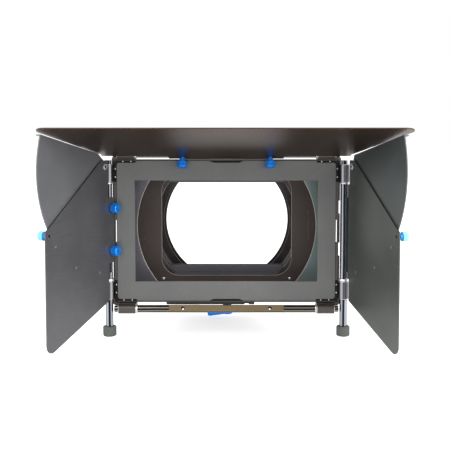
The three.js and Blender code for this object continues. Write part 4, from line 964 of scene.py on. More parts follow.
@dataclass
class FrontFrame(Assembly):
    """Bezel with its recess and corner slots, the removable mask, and the hood behind them."""

    bezel_radius: float = 5.0
    recess_depth: float = 1.8
    side_lip: float = 2.8
    top_lip: float = 1.15
    slot_gap: float = 0.3
    slot_start: float = 49.4
    slot_lap: float = 1.0
    rib_width: float = 1.3
    rib_front: float = 1.6
    rib_spans: tuple[Point, ...] = ((-49.4, -24.9), (-11.9, 17.5), (30.5, 49.4))
    lip_slit: Slit = Slit(109.95, 0.6, 11.4, 8)
    mask_radius: float = 3.0
    mask_edge: float = 0.15
    mask_opening_radius: float = 0.5
    mask_side_border: float = 17.8
    mask_top_border: float = 19.65
    mask_relief: float = 1.8
    relief_start: float = 90.0
    relief_radii: Point = (0.4, 0.6)
    notch_half: float = 17.0
    notch_slope: float = 4.0
    notch_radius: float = 2.0
    hood_wall: float = 1.8
    hood_radius: float = 5.0

    def build(self) -> None:
        """Makes the three pieces."""
        self.bezel()
        self.mask()
        self.hood()

    def bezel(self) -> None:
        """Bezel: one plate with a ribbed side, the recess and the side slots cut into its face."""
        size, hood = self.size("front_frame"), self.size("hood_shell")
        opening = rounded_box(hood.right - self.hood_wall, hood.top - self.hood_wall, self.hood_wall)
        outline = rounded_box(size.right, size.top, self.bezel_radius)
        plate = self.plate("front_bezel", outline, size.depth, [opening])
        ribs = []
        for sx in (-1, 1):
            x = sorted((sx * (size.right - self.slot_lap), sx * (size.right + self.rib_width)))
            for z in self.rib_spans:
                ribs.append(self.block("rib", (x[0], self.rib_front, z[0]), (x[1], size.back - HAIR, z[1])))
        combined(plate, ribs, Solver.JOIN)
        start, floor = size.front - OVERRUN, size.front + self.recess_depth
        wide, high = size.right - self.side_lip, size.top - self.top_lip
        tools = [self.block("recess", (-wide, start, -high), (wide, floor, high))]
        for sx in (-1, 1):
            x = sorted((sx * (wide - self.slot_lap), sx * (size.right - self.slot_gap)))
            for sz in (-1, 1):
                z = sorted((sz * self.slot_start, sz * high))
                tools.append(self.block("slot", (x[0], start, z[0]), (x[1], floor, z[1])))
        combined(plate, tools + self.slits(self.lip_slit, size.through), Solver.CUT)
        self.dress(plate, Finishes.bezel, "black_anodised", "front_frame")
        # The recess and slot floors are painted black, as shade
        self.paint(plate, Finishes.painted_shade, lambda at, normal: normal.y < -FACING and at.y > floor - NEAR)

    def mask(self) -> None:
        """Mask: a coated sheet with a wide opening, relieved corners and two shallow finger notches."""
        size = self.size("mask_plate")
        relief, (inner, outer) = size.top - self.mask_relief, self.relief_radii
        quarter = [
            (size.right, relief, self.mask_radius),
            (self.relief_start, relief, inner),
            (self.relief_start, size.top, outer),
            (self.notch_half, size.top, self.notch_radius),
            (self.notch_half - self.notch_slope, relief, self.notch_radius),
        ]
        upper = both_halves(quarter)
        outline = filleted([*upper, *((-x, -z, r) for x, z, r in upper)], 6)
        half_w, half_h = size.right - self.mask_side_border, size.top - self.mask_top_border
        opening = rounded_box(half_w, half_h, self.mask_opening_radius)
        plate = self.plate("grey_mask", outline, size.depth, [opening], self.mask_edge)
        self.dress(plate, Finishes.mask, "grey_sheet", "mask_plate")

    def hood(self) -> None:
        """Hood: a short rectangular tunnel folded from sheet."""
        size, wall = self.size("hood_shell"), self.hood_wall
        outline = rounded_box(size.right, size.top, self.hood_radius)
        inner = rounded_box(size.right - wall, size.top - wall, self.hood_radius - wall)
        tunnel = self.plate("hood_tunnel", outline, size.depth, [inner])
        self.dress(tunnel, Finishes.hood, "black_paint", "hood_shell")


@dataclass
class HoodInside(Assembly):
    """What stands inside the hood: two crescents, the brown wall and its four screws."""

    crescent_radius: float = 93.1
    corner_radius: float = 3.2
    opening_half_w: float = 68.0
    opening_half_h: float = 53.2
    opening_radius: float = 18.0
    wall_radius: float = 5.0
    slit: Slit = Slit(86.0, 0.4, 16.0, 4)
    slit_depth: float = 1.0
    edge: float = 0.5
    dome_angles: Corner = (0.4, 0.8, 1.2)
    stem_share: float = 0.56
    cross_reach: float = 1.6
    cross_depth: float = 0.5
    cross_width: float = 0.45

    def build(self) -> None:
        """Makes all the pieces."""
        for side in Side:
            self.crescent(side)
        self.wall()
        for level in ("top", "bottom"):
            for side in Side:
                self.screw(f"{level}_{side.word}")

    def crescent(self, side: Side) -> None:
        """One crescent, with an eased arc that catches the light, on one side of the hood.

        Args:
            side: Side of the hood.
        """
        node = f"round_baffle_{side.word}"
        size, radius, edge = self.size(node), self.crescent_radius, self.edge
        outer = max(abs(size.left), abs(size.right))
        reach = math.degrees(math.asin(size.top / radius))
        round_edge = arc((0, 0), radius, reach, -reach, 40)
        corners = [(outer, -size.top, self.corner_radius), (outer, size.top, self.corner_radius)]
        corners = filleted([(*round_edge[-1], 0.0), *corners, (*round_edge[0], 0.0)])
        outline = [*round_edge, *corners[1:-1]]
        if side is Side.LEFT:
            outline = [(-x, z) for x, z in reversed(outline)]
        plate = self.plate(f"crescent_{side.word}", outline, size.depth, (), edge)
        # Each side's crescent has its own colour, with light and shade painted in
        self.dress(plate, Finishes.baffle[side], "black_paint", node)

        def on_arc(at: Vector, normal: Vector) -> bool:
            """Whether a face belongs to the arc's eased edge."""
            near = math.hypot(at.x, at.z) < radius + edge
            return near and abs(normal.y) < FLAT and abs(at.z) < size.top - edge

        # The arc's eased edge is painted light, as a highlight
        self.paint(plate, Finishes.painted_edge_highlight, on_arc)

    def wall(self) -> None:
        """Brown wall with its rounded opening and two fine lines."""
        size, edge = self.size("inner_wall_plate"), self.edge
        half_w, half_h = self.opening_half_w, self.opening_half_h
        hole = rounded_box(half_w, half_h, self.opening_radius, steps=20)
        outline = rounded_box(size.right, size.top, self.wall_radius)
        plate = self.plate("brown_wall", outline, size.depth, [hole], edge)
        lines = self.slits(self.slit, (size.front - OVERRUN, size.front + self.slit_depth))
        combined(plate, lines, Solver.CUT)
        self.dress(plate, Finishes.wall, "black_paint", "inner_wall_plate")

        def on_opening(at: Vector, normal: Vector) -> bool:
            """Whether a face belongs to the front eased edge of the opening."""
            inside = abs(at.x) < half_w + edge and abs(at.z) < half_h + edge
            return inside and abs(normal.y) < FLAT and at.y < size.front + edge

        def in_slit(at: Vector, normal: Vector) -> bool:
            """Whether a face is below the front face, inside one of the lines."""
            near = abs(at.x) > self.slit.middle - 1 and abs(at.z) < self.slit.half_length + 1
            return near and 2 * NEAR < at.y - size.front < self.slit_depth + edge - NEAR

        # The eased edge round the opening is painted light brown, as a highlight
        self.paint(plate, Finishes.painted_opening_highlight, on_opening)
        # The floors of the two lines are painted a paler brown-grey
        self.paint(plate, Finishes.slit, in_slit)

    def screw(self, corner: str) -> None:
        """One small screw with a domed head and a cross, in a named corner of the wall.

        Args:
            corner: Name of the corner.
        """
        node = f"stage_screw_{corner}"
        size = self.size(node)
        head = (size.right - size.left) / 2
        stem, seat = head * self.stem_share, size.front + head / 2
        place = self.at(x=size.x, z=size.z)
        rim = dome(head, head / 2, size.front, (0, *self.dome_angles))
        profile = [*rim, (stem, seat), (stem, size.back), (0, size.back)]
        body = turned(f"wall_screw_{corner}", profile, place, segments=24)
        low, floor = size.front - OVERRUN, size.front + self.cross_depth
        long, wide = head / self.cross_reach, self.cross_width / 2
        bars = ((long, wide), (wide, long))
        tools = [block("cross", (-x, low, -z), (x, floor, z), place) for x, z in bars]
        combined(body, tools, Solver.CUT)
        self.dress(body, Finishes.screw, "steel_screw", node)


@dataclass
class CornerBrackets(Assembly):
    """Four L brackets, each with an upright and a level sleeve and four small screws."""

    gap: float = 0.3
    reach: Point = (22.0, 22.4)
    rims: Point = (1.6, 3.1)
    frame_thickness: float = 4.0
    back_thickness: float = 4.0
    end_radius: float = 0.3
    inner_radius: float = 2.0
    corner_radius: float = 3.5
    rod_forward: float = 4.0
    web_front: float = 3.0
    web_depth: float = 1.5
    web_insets: Point = (0.05, 0.1)
    plate_edge: float = 0.25
    bore_radius: float = 4.0
    bore_overrun: float = 2.0
    sleeve_radius: float = 4.9
    sleeve_length: float = 17.8
    sleeve_fillet: float = 0.6
    screw_head: float = 0.85
    screw_gap: float = 0.1
    dome_share: float = 0.7
    dome_angles: Point = (0.5, 1.0)
    screw_stem: float = 0.7
    screw_span: Corner = (0.6, 1.6, 3.9)
    screw_first: float = 4.8
    screw_step: float = 8.2

    def build(self) -> None:
        """Makes the four brackets."""
        for sz, level in ((1, "top"), (-1, "bottom")):
            for side in Side:
                self.bracket(level, sz, side)

    def bracket(self, level: str, sz: int, side: Side) -> None:
        """One bracket, drawn in the upper right corner and mirrored where it belongs.

        Args:
            level: "top" or "bottom".
            sz: Sign of Z of that corner.
            side: Side of the frame.
        """
        plate, hood, mask = self.size("front_frame"), self.size("hood_shell"), self.size("mask_plate")
        rod_x, rod_z = self.size("right_rod").x, self.size("top_rod").z
        gap, fillet, back = self.gap, self.sleeve_fillet, self.frame_thickness + self.back_thickness
        x0, z0 = plate.right + gap, plate.top + gap
        x1, z1 = x0 + self.rims[0], z0 + self.rims[1]
        start_x, start_z = plate.right - self.reach[0], plate.top - self.reach[1]
        end_x, end_z = start_x + self.sleeve_length, start_z + self.sleeve_length
        place = self.place @ Matrix.Diagonal((side.value, 1, sz, 1))

        def corner_piece(name: str, inner: Point, front: float) -> Object:
            """An L-shaped plate between the bracket's outer edge and an inner corner.

            Args:
                name: Name of the new object.
                inner: Its inner corner.
                front: Where its front face is.

            Returns:
                The plate.
            """
            end = self.end_radius
            corners = [(start_x, z1, end), (start_x, inner[1], end), (*inner, self.inner_radius)]
            corners += [(inner[0], start_z, end), (x1, start_z, end), (x1, z1, self.corner_radius)]
            return sheet(name, filleted(corners), (front, back), place, (), self.plate_edge)

        name = f"hinge_bracket_{level}_{side.word}"
        casting = corner_piece(name, (x0, z0), gap)
        parts = [corner_piece("leg", (hood.right + gap, hood.top + gap), self.frame_thickness + HAIR)]
        bores = []
        for axis, start, end, spot in (
            (Axis.Z, start_z, end_z, (rod_x, -self.rod_forward, 0)),
            (Axis.X, start_x, end_x, (0, -self.rod_forward, rod_z)),
        ):
            there = place @ Matrix.Translation(spot)
            sleeve = eased(tube(self.bore_radius, self.sleeve_radius, start, end), fillet, True)
            bore = shaft(self.bore_radius, start - self.bore_overrun, end + self.bore_overrun)
            parts.append(turned("sleeve", sleeve, there, axis, True, 40))
            bores.append(turned("bore", bore, there, axis, segments=40))
        web, deep, (lap, inset) = -self.web_front, gap + self.web_depth, self.web_insets
        parts.append(block("web", (x0 + lap, web, start_z + inset), (rod_x, deep, end_z - inset), place))
        parts.append(block("web", (start_x + inset, web, z0 + lap), (end_x - inset, deep, rod_z), place))
        combined(casting, parts, Solver.JOIN)
        combined(casting, bores, Solver.CUT)
        self.dress(casting, Finishes.bracket, "cast_bracket", f"corner_bracket_{level}_{side.word}")
        reach, rim = self.sleeve_radius + NEAR, fillet + CLOSE

        def on_upright(at: Vector, normal: Vector) -> bool:
            """Whether a face belongs to the upright sleeve."""
            return math.hypot(at.x - rod_x, at.y + self.rod_forward) < reach and start_z < at.z < end_z

        def on_sleeve_end(at: Vector, normal: Vector) -> bool:
            """Whether a face is the faced end of one of the two sleeves.

            Args:
                at: Middle of the face.
                normal: Its normal, which is not used.

            Returns:
                Whether it is painted.
            """
            from_upright = math.hypot(at.x - rod_x, at.y + self.rod_forward)
            from_level = math.hypot(at.z - rod_z, at.y + self.rod_forward)
            near_z = min(abs(at.z - start_z), abs(at.z - end_z)) < rim
            near_x = min(abs(at.x - start_x), abs(at.x - end_x)) < rim
            return (near_z and from_upright < reach) or (near_x and from_level < reach)

        # The upright sleeve gets light bands painted along it as reflections
        paint_where(casting, Finishes.sleeve, place, on_upright)
        paint_where(casting, Finishes.machined, place, on_sleeve_end)
        screw_x, screw_z = (mask.right + plate.right) / 2, mask.top + gap - self.screw_head - self.screw_gap
        for i in (0, 1):
            step = self.screw_first + i * self.screw_step
            self.screw(f"{name}_side_screw_{i + 1}", place, (screw_x, start_z + step))
            self.screw(f"{name}_top_screw_{i + 1}", place, (start_x + step, screw_z))

    def screw(self, name: str, place: Matrix, middle: Point) -> None:
        """One small round-headed screw in a corner slot of a bracket's axes.

        Args:
            name: Name of the new object.
            place: Axes of the bracket.
            middle: Where the screw is, across and up.
        """
        head, stem = self.screw_head, self.screw_stem
        top, seat, end = self.screw_span
        rim = dome(head, head * self.dome_share, top, (0, *self.dome_angles))
        profile = [*rim, (head, seat), (stem, seat), (stem, end), (0, end)]
        made = turned(name, profile, place @ Matrix.Translation((middle[0], 0, middle[1])), segments=20)
        mount(made, Finishes.screw, self.body, "steel_screw")


@dataclass
class HingeRods:
    """Round rods with a milled flat, two tapped holes, collars and thinner ends."""

    radius: float = 3.8
    end_radius: float = 3.2
    end_length: float = 4.0
    edge: float = 0.3
    collar_radius: float = 4.8
    thin_collar: float = 1.2
    thick_collar: float = 2.3
    flat_height: float = 2.6
    hole_radius: float = 1.8
    hole_floor: float = 0.5
    tap_radius: float = 1.1
    tap_end: float = 1.0
    level_end: float = 111.8
    level_collar: float = 89.7
    level_flat: float = 57.3
    level_hole: float = 43.4
    upright_low: float = -100.0
    upright_high: float = 71.2
    upright_collar: float = 49.1
    foot_radius: float = 6.7
    foot_low: float = -104.6
    foot_high: float = -94.7
    foot_chamfer: float = 0.8
    foot_edge: float = 0.4
    foot_play: Point = (0.2, 0.3)

    def collar(self, low: float, high: float) -> list[Point]:
        """Profile points of one collar."""
        return tube(self.radius, self.collar_radius, low, high)

    def thin_end(self, end: float) -> list[Point]:
        """Profile points of the thinner end that the profile stops at."""
        shoulder = end - self.end_length
        return [(self.radius, shoulder), (self.end_radius, shoulder), (self.end_radius, end), (0, end)]

    def rod(
        self, role: Role, place: Matrix, profile: Sequence[Point], flat: Point, holes: Point, steel: Surface
    ) -> None:
        """Turns a rod, mills its flat, drills its holes and dresses it.

        Args:
            role: Its name, body and node.
            place: Axes of its hinged group.
            profile: Lathe profile along the rod.
            flat: Where the flat starts and ends.
            holes: Where the cross holes are.
            steel: Its finish, whose light bands are painted reflections. A level rod's flat gets a khaki
                painted reflection as well.
        """
        bar = turned(role.name, eased(profile, self.edge), place, Axis.Z, segments=56)
        wide, height, reach = self.radius + OVERRUN, self.flat_height, self.hole_radius + NEAR
        tools = [block("flat", (-wide, height, flat[0]), (wide, wide, flat[1]), place)]
        for along in holes:
            spot = place @ Matrix.Translation((0, 0, along))
            tools.append(turned("hole", shaft(self.hole_radius, self.hole_floor, wide), spot, segments=28))
            tools.append(turned("drilling", shaft(self.tap_radius, -wide, self.tap_end), spot, segments=20))
        combined(bar, tools, Solver.CUT)
        mount(bar, steel, role.body, "steel_rod", role.node)

        def on_flat(at: Vector, normal: Vector) -> bool:
            """Whether a face belongs to the milled flat."""
            return normal.y > FLAT and abs(at.y - height) < NEAR

        def on_collar(at: Vector, normal: Vector) -> bool:
            """Whether a face stands out from the rod: collars are bare bright metal."""
            return math.hypot(at.x, at.y) > self.radius + 2 * NEAR

        def in_hole(at: Vector, normal: Vector) -> bool:
            """Whether a face is a wall of one of the holes, painted dark as the shade inside them."""
            return abs(normal.y) < LEANING and any(math.hypot(at.x, at.z - along) < reach for along in holes)

        # A level rod's milled flat is painted khaki, as a reflection
        if steel is Finishes.level_steel:
            paint_where(bar, Finishes.milled_flat, place, on_flat)
        paint_where(bar, Finishes.machined, place, on_collar)
        # Hole walls are painted black, as shade
        paint_where(bar, Finishes.painted_shade, place, in_hole)

    def level(self, role: Role, place: Matrix) -> None:
        """A level rod, above or below the frame, in the axes of its group.

        Args:
            role: Its name, body and node.
            place: Axes of its hinged group.
        """
        end, ring, thin = self.level_end, self.level_collar, self.thin_collar
        near_end = [(radius, -along) for radius, along in reversed(self.thin_end(end))]
        collars = [*self.collar(-ring, -ring + thin), *self.collar(ring - thin, ring)]
        profile = [*near_end, *collars, *self.thin_end(end)]
        flat, holes = (-self.level_flat, self.level_flat), (-self.level_hole, self.level_hole)
        self.rod(role, place, profile, flat, holes, Finishes.level_steel)

    def upright(self, role: Role, place: Matrix, flat: Point, holes: Point) -> None:
        """An upright rod of a side flag, with the ends of its flat and its two cross holes.

        Args:
            role: Its name, body and node.
            place: Axes of its hinged group.
            flat: Where the flat starts and ends.
            holes: Where the cross holes are.
        """
        ring, low = self.upright_collar, self.upright_low
        collars = self.collar(-ring, -ring + self.thick_collar) + self.collar(ring - self.thin_collar, ring)
        profile = [(0, low), (self.radius, low), *collars, *self.thin_end(self.upright_high)]
        self.rod(role, place, profile, flat, holes, Finishes.upright_steel)

    def foot(self, role: Role, place: Matrix) -> None:
        """Rubber cap on the lower end of an upright rod.

        Args:
            role: Its name, body and node.
            place: Axes of its hinged group.
        """
        wide, low, high, cut = self.foot_radius, self.foot_low, self.foot_high, self.foot_chamfer
        bore, floor = self.radius + self.foot_play[0], self.upright_low - self.foot_play[1]
        outside = [(0, low), (wide - cut, low), (wide, low + cut), (wide, high - cut), (wide - cut, high)]
        profile = eased([*outside, (bore, high), (bore, floor), (0, floor)], self.foot_edge)
        cap = turned(role.name, profile, place, Axis.Z, segments=56)
        mount(cap, Finishes.foot, role.body, "foot_rubber", role.node)


@dataclass(frozen=True)
class KnurledHead:
    """Turned head of a screw or knob: chamfered below, plain at both ends of its knurl, rimmed and dished."""

    radius: float
    chamfer: float
    plain: Point
    rim: float
    bevel: float = 0.7
    dish: Point = (0.3, 0.25)
    knurl_lap: float = 0.1

    def profile(self, under: float, end: float) -> list[Point]:
        """Profile points from the head's underside to the middle of its face.

        Args:
            under: Where the head starts.
            end: Where it ends.

        Returns:
            The points.
        """
        wide, inner, floor = self.radius, self.radius - self.bevel - self.rim, end - self.dish[1]
        side = [(wide - self.chamfer, under), (wide, under + self.chamfer), (wide, under + self.plain[0])]
        side += [(wide, end - self.plain[1]), (wide, end - self.bevel), (wide - self.bevel, end)]
        return [*side, (inner, end), (inner - self.dish[0], floor), (0, floor)]

    def knurl(self, under: float, end: float) -> Knurl:
        """The head's flutes."""
        return Knurl(under + self.plain[0] - self.knurl_lap, end - self.plain[1] + self.knurl_lap)


@dataclass
class Fasteners:
    """Thumbscrews, lock knobs, eyelets and studs, each turned along the normal of its flag.

    The far side of the fan flap is measured from the flag's other face, and play is left under each head.
    """

    play: float = 0.3
    fan_outer: float = 2.7
    stem: float = 1.5
    throat: float = 2.65
    tip: float = -3.0
    screw_head: KnurledHead = KnurledHead(5.0, 0.5, (1.2, 1.3), 1.0)
    knob_head: KnurledHead = KnurledHead(4.25, 0.4, (1.0, 1.2), 0.8)
    knob_tip: float = 0.2
    knob_neck: float = 2.6
    knob_length: float = 7.8
    washer: float = 3.3
    washer_chamfer: float = 0.15
    washer_height: float = 0.65
    rivet_play: float = 0.2
    eyelet_radii: Corner = (1.5, 1.9, 3.0)
    eyelet_rim: float = 0.6
    eyelet_roll: Corner = (1.6, 1.7, 1.2)
    eyelet_bevel: float = 0.4
    eyelet_edge: float = 0.2
    stud_radii: Corner = (1.5, 1.2, 3.4)
    stud_shares: Point = (0.6, 0.8)
    stud_face: Corner = (0.7, 0.65, 0.4)
    stud_rims: Corner = (0.6, 0.95, 1.0)

    def thumbscrew(self, role: Role, place: Matrix, along: float, lengths: Point) -> None:
        """Blue screw that clamps a flag to its rod.

        Args:
            role: Its name, body and node.
            place: Axes of its hinged group.
            along: Place along the rod.
            lengths: Lengths of the neck and of the head.
        """
        seat, stem, throat = SHEET_OUTER + self.play, self.stem, self.throat
        under = seat + lengths[0]
        end = under + lengths[1]
        shank = [(0, self.tip), (stem, self.tip), (stem, seat), (throat, seat), (throat, under)]
        profile = [*shank, *self.screw_head.profile(under, end)]
        spot = place @ Matrix.Translation((0, 0, along))
        made = turned(role.name, profile, spot, knurl=self.screw_head.knurl(under, end))
        mount(made, Finishes.blue, role.body, "blue_anodised", role.node)

    def lock_knob(self, role: Role, place: Matrix) -> None:
        """Blue knob, painted pale as if in strong light, with a deep blue neck and washer, which clamps the
        fan's rim.

        Args:
            role: Its name, body and node.
            place: Axes of the knob, which points along Y.
        """
        back = self.fan_outer + self.play
        neck, end, top = back + self.knob_neck, back + self.knob_length, back + self.washer_height
        wide, cut, low = self.washer, self.washer_chamfer, self.knob_tip
        stem = [(0, low), (self.stem, low), (self.stem, back)]
        washer = [(wide - cut, back), (wide, back + cut), (wide, top - cut), (wide - cut, top)]
        head = self.knob_head.profile(neck, end)
        profile = [*stem, *washer, (self.throat, top), (self.throat, neck), *head]
        made = turned(role.name, profile, place, knurl=self.knob_head.knurl(neck, end))
        # The head is painted pale blue as if brightly lit; the neck and washer get the deep blue
        mount(made, Finishes.blue_painted_lit, role.body, "blue_anodised", role.node)
        paint_where(made, Finishes.blue, place, lambda at, normal: back - CLOSE < at.y < neck - CLOSE)
        # The stem under the washer is painted black, as shade
        paint_where(made, Finishes.painted_shade, place, lambda at, normal: at.y < back - NEAR)

    def eyelet(self, role: Role, place: Matrix) -> None:
        """Hollow rivet that the fan turns on, with rolled rims and a bore painted dark as shade.

        Args:
            role: Its name, body and node.
            place: Axes of the eyelet, with Y through the flag.
        """
        (bore, shank, rim), (lip, crown, side), play = self.eyelet_radii, self.eyelet_roll, self.rivet_play
        far = self.fan_outer + play
        end = far + self.eyelet_rim
        near_rim = [(bore, -lip), (rim - self.eyelet_bevel, -crown)]
        near_rim += [(rim, -side), (rim, -play), (shank, -play)]
        profile = [*near_rim, (shank, far), (rim, far), (rim, end), (bore, end)]
        made = turned(role.name, eased(profile, self.eyelet_edge, True), place, closed=True, segments=36)
        mount(made, Finishes.eyelet, role.body, "steel_screw", role.node)
        # The bore is painted black, as shade
        paint_where(made, Finishes.painted_shade, place, lambda at, normal: math.hypot(at.x, at.z) < bore + CLOSE)

    def stud(self, role: Role, place: Matrix) -> None:
        """Riveted stud with a wide outer head that keeps the fan's rim on the flag.

        Args:
            role: Its name, body and node.
            place: Axes of the stud, with Y through the flag.
        """
        (face, shank, head), far, play = self.stud_radii, self.fan_outer + self.play, self.rivet_play
        (inner, outer), (crown, dome_rim, side) = self.stud_shares, self.stud_face
        rim, bevel, end = (far + rise for rise in self.stud_rims)
        near_face = [(0, -crown), (face * inner, -dome_rim), (face, -side), (face, -play), (shank, -play)]
        far_head = [(shank, far), (head, far), (head, rim), (head * outer, bevel), (0, end)]
        made = turned(role.name, [*near_face, *far_head], place, segments=36)
        mount(made, Finishes.rivet, role.body, "steel_screw", role.node)


@dataclass
class TopFlag(Assembly):
    """Wide flared flag on the upper rod, with its two blue screws."""

    rods: HingeRods
    fasteners: Fasteners
    tilt: float = 16.0
    tab_half: float = 57.0
    tab_back: float = -5.3
    rear_edge: float = 5.8
    straight: float = 12.0
    rear_half: float = 121.7
    front_half: float = 169.0
    depth: float = 109.0
    tab_radius: float = 1.0
    flare_radius: float = 2.0
    corner_radius: float = 9.0
    screw_lengths: Point = (3.5, 6.2)
    body = "upper_flag"

    @cached_property
    def place(self) -> Matrix:
        """Axes of the flag at rest.

        Returns:
            The axes.
        """
        angle = math.radians(self.tilt)
        out = Vector((0, -math.cos(angle), math.sin(angle)))
        down = Vector((0, -math.sin(angle), -math.cos(angle)))
        return self.frame.hinge("top_rod", out, down)

    def build(self) -> None:
        """Makes the rod, the flag and its screws."""
        self.rods.level(Role("upper_hinge_rod", self.body, "top_rod"), self.place)
        half = [
            (self.tab_back, self.tab_half, self.tab_radius),
            (self.rear_edge, self.tab_half, self.tab_radius),
            (self.rear_edge, self.rear_half, self.tab_radius),
            (self.straight, self.rear_half, self.flare_radius),
            (self.depth, self.front_half, self.corner_radius),
        ]
        along = self.rods.level_hole
        holes = [circle(self.rods.hole_radius, (0, side.value * along)) for side in Side]
        outline = filleted(both_halves(half, (1, -1)))
        flag = self.plate("top_flag_sheet", outline, (SHEET_INNER, SHEET_OUTER), holes)
        self.dress(flag, Finishes.flag, "black_sheet", "top_flag")
        for side in Side:
            word = side.word
            role = Role(f"top_screw_{word}", f"upper_flag_screw_{word}", f"top_thumbscrew_{word}")
            self.fasteners.thumbscrew(role, self.place, side.value * along, self.screw_lengths)


@dataclass
class LowerRod(Assembly):
    """The rod below the frame, which turns by itself."""

    rods: HingeRods
    tilt: float = 26.0

    def build(self) -> None:
        """Makes the rod."""
        angle = math.radians(self.tilt)
        out = Vector((0, math.sin(angle), math.cos(angle)))
        forward = Vector((0, -math.cos(angle), math.sin(angle)))
        place = self.frame.hinge("bottom_rod", out, forward)
        self.rods.level(Role("lower_hinge_rod", "lower_rod", "bottom_rod"), place)


@dataclass(frozen=True)
class FanEdge:
    """Upper edge of a fan flap: its height over the pivot, its slope, and how far on its corner is."""

    rise: float
    slope: float
    corner: float


@dataclass
class SideWing(Assembly):
    """A side flag with its rod, fan flap and fixings.

    Angles are in degrees. Those of the lock knob and the studs are below the horizontal, about the pivot.
    """

    rods: HingeRods
    fasteners: Fasteners
    side: Side
    swing: float
    edge: FanEdge
    near_edge: float = 3.0
    tab_bottom: float = -40.0
    tab_back: float = -4.5
    tab_top: float = 34.5
    rear_edge: float = 5.8
    near_top: float = 47.6
    near_bottom: float = -46.5
    top: float = 71.7
    top_flat_end: float = 17.3
    length: float = 103.9
    outer_top: float = 12.9
    rear_bottom: float = -68.2
    outer_bottom: float = -99.5
    step_radius: float = 0.5
    tab_radius: float = 1.0
    rear_radius: float = 1.5
    upper_radius: float = 2.0
    corner_radius: float = 8.0
    sheet_edge: float = 0.25
    rod_flat: Point = (-40.3, 34.8)
    screw_holes: Point = (24.0, -18.4)
    pivot: Point = (12.0, 65.5)
    pivot_hole: float = 2.2
    stud_hole: float = 1.5
    fan_radius: float = 100.2
    hub_radius: float = 6.0
    fan_bottom_angle: float = -43.0
    fan_gap: float = 0.3
    lip_width: float = 4.8
    lip_thickness: float = 1.0
    lip_start: float = 37.0
    lip_edge: float = 0.2
    stud_angles: tuple[float, ...] = (40.6, 62.1, 84.4)
    stud_reach: float = 102.8
    lock_angle: float = 33.3
    lock_reach: float = 103.1
    screw_lengths: Point = (0.4, 7.1)

    @property
    def body(self) -> str:
        """CAD body of the flag."""
        return f"{self.side.word}_wing"

    @cached_property
    def place(self) -> Matrix:
        """Axes of the flag at rest.

        Returns:
            The axes.
        """
        angle = math.radians(self.swing)
        sign = self.side.value
        out = Vector((sign * math.cos(angle), -math.sin(angle), 0))
        normal = Vector((math.sin(angle), sign * math.cos(angle), 0))
        return self.frame.hinge(f"{self.side.word}_rod", out, normal)

    def on_arc(self, reach: float, below: float) -> Point:
        """Place at an angle below the horizontal, on an arc about the pivot."""
        angle = math.radians(-below)
        return (self.pivot[0] + reach * math.cos(angle), self.pivot[1] + reach * math.sin(angle))

    def fixing(self, middle: Point) -> Matrix:
        """Axes of a fixing through the flag, with the outer side of the flag along Y.

        Args:
            middle: Where it is on the flag, out from the rod and up.

        Returns:
            The axes.
        """
        if self.side is Side.RIGHT:
            return self.at(middle[0], SHEET_INNER, middle[1])
        return self.at(middle[0], SHEET_OUTER, middle[1]) @ Matrix.Rotation(math.pi, 4, "X")

    def build(self) -> None:
        """Makes all that turns on this upright rod."""
        word, place, kit = self.side.word, self.place, self.fasteners
        lock = self.on_arc(self.lock_reach, self.lock_angle)
        studs = [self.on_arc(self.stud_reach, angle) for angle in self.stud_angles]
        rod = Role(f"{word}_hinge_rod", self.body, f"{word}_rod")
        self.rods.upright(rod, place, self.rod_flat, self.screw_holes)
        self.rods.foot(Role(f"{word}_foot", self.body, f"{word}_rod_foot"), place)
        self.panel(lock, studs)
        self.fan()
        for level, along in zip(("upper", "lower"), self.screw_holes):
            role = Role(f"{word}_screw_{level}", f"{word}_wing_screw_{level}", f"{word}_{level}_thumbscrew")
            kit.thumbscrew(role, place, along, self.screw_lengths)
        kit.eyelet(Role(f"{word}_eyelet", self.body, f"{word}_fan_eyelet"), self.fixing(self.pivot))
        kit.lock_knob(Role(f"{word}_knob", f"{word}_lock_knob", f"{word}_fan_lock_knob"), self.fixing(lock))
        for i, spot in enumerate(studs, 1):
            kit.stud(Role(f"{word}_stud_{i}", self.body, f"{word}_guide_stud_{i}"), self.fixing(spot))

    def panel(self, lock: Point, studs: Sequence[Point]) -> None:
        """The flag's own sheet.

        Args:
            lock: Middle of the lock knob's hole.
            studs: Middles of the studs' holes.
        """
        low, high, near, rear = self.tab_bottom, self.tab_top, self.near_edge, self.rear_edge
        crisp, round_tab, upper = self.step_radius, self.tab_radius, self.upper_radius
        upper_step = [(rear, high, round_tab)]
        if self.side is Side.RIGHT:
            upper_step = [(rear, self.near_top, crisp), (near, self.near_top, crisp), (near, high, crisp)]
        corners = [
            (self.tab_back, low, round_tab),
            (near, low, crisp),
            (near, self.near_bottom, crisp),
            (rear, self.near_bottom, crisp),
            (rear, self.rear_bottom, self.rear_radius),
            (self.length, self.outer_bottom, self.corner_radius),
            (self.length, self.outer_top, upper),
            (self.top_flat_end, self.top, upper),
            (rear, self.top, round_tab),
            *upper_step,
            (self.tab_back, high, round_tab),
        ]
        wide = self.rods.hole_radius
        holes = [circle(wide, (0, z)) for z in self.screw_holes]
        holes += [circle(self.pivot_hole, self.pivot), circle(wide, lock)]
        holes += [circle(self.stud_hole, spot, 20) for spot in studs]
        word, depth = self.side.word, (SHEET_INNER, SHEET_OUTER)
        panel = self.plate(f"{word}_flag_sheet", filleted(corners), depth, holes, self.sheet_edge)
        # Each side's flag has its own colour, with light and shade painted in
        self.dress(panel, Finishes.wing[self.side], "grey_sheet", f"{word}_wing_panel")
        slope = Vector((self.length - self.top_flat_end, self.outer_top - self.top)).normalized()

        def on_slope(at: Vector, normal: Vector) -> bool:
            """Whether a face belongs to the sloping upper edge, which the fan's shade keeps dark."""
            return normal.z * slope.x - normal.x * slope.y > FACING and at.z > self.outer_top

        # The sloping edge is painted black, as the fan's shadow on it
        self.paint(panel, Finishes.painted_shade, on_slope)

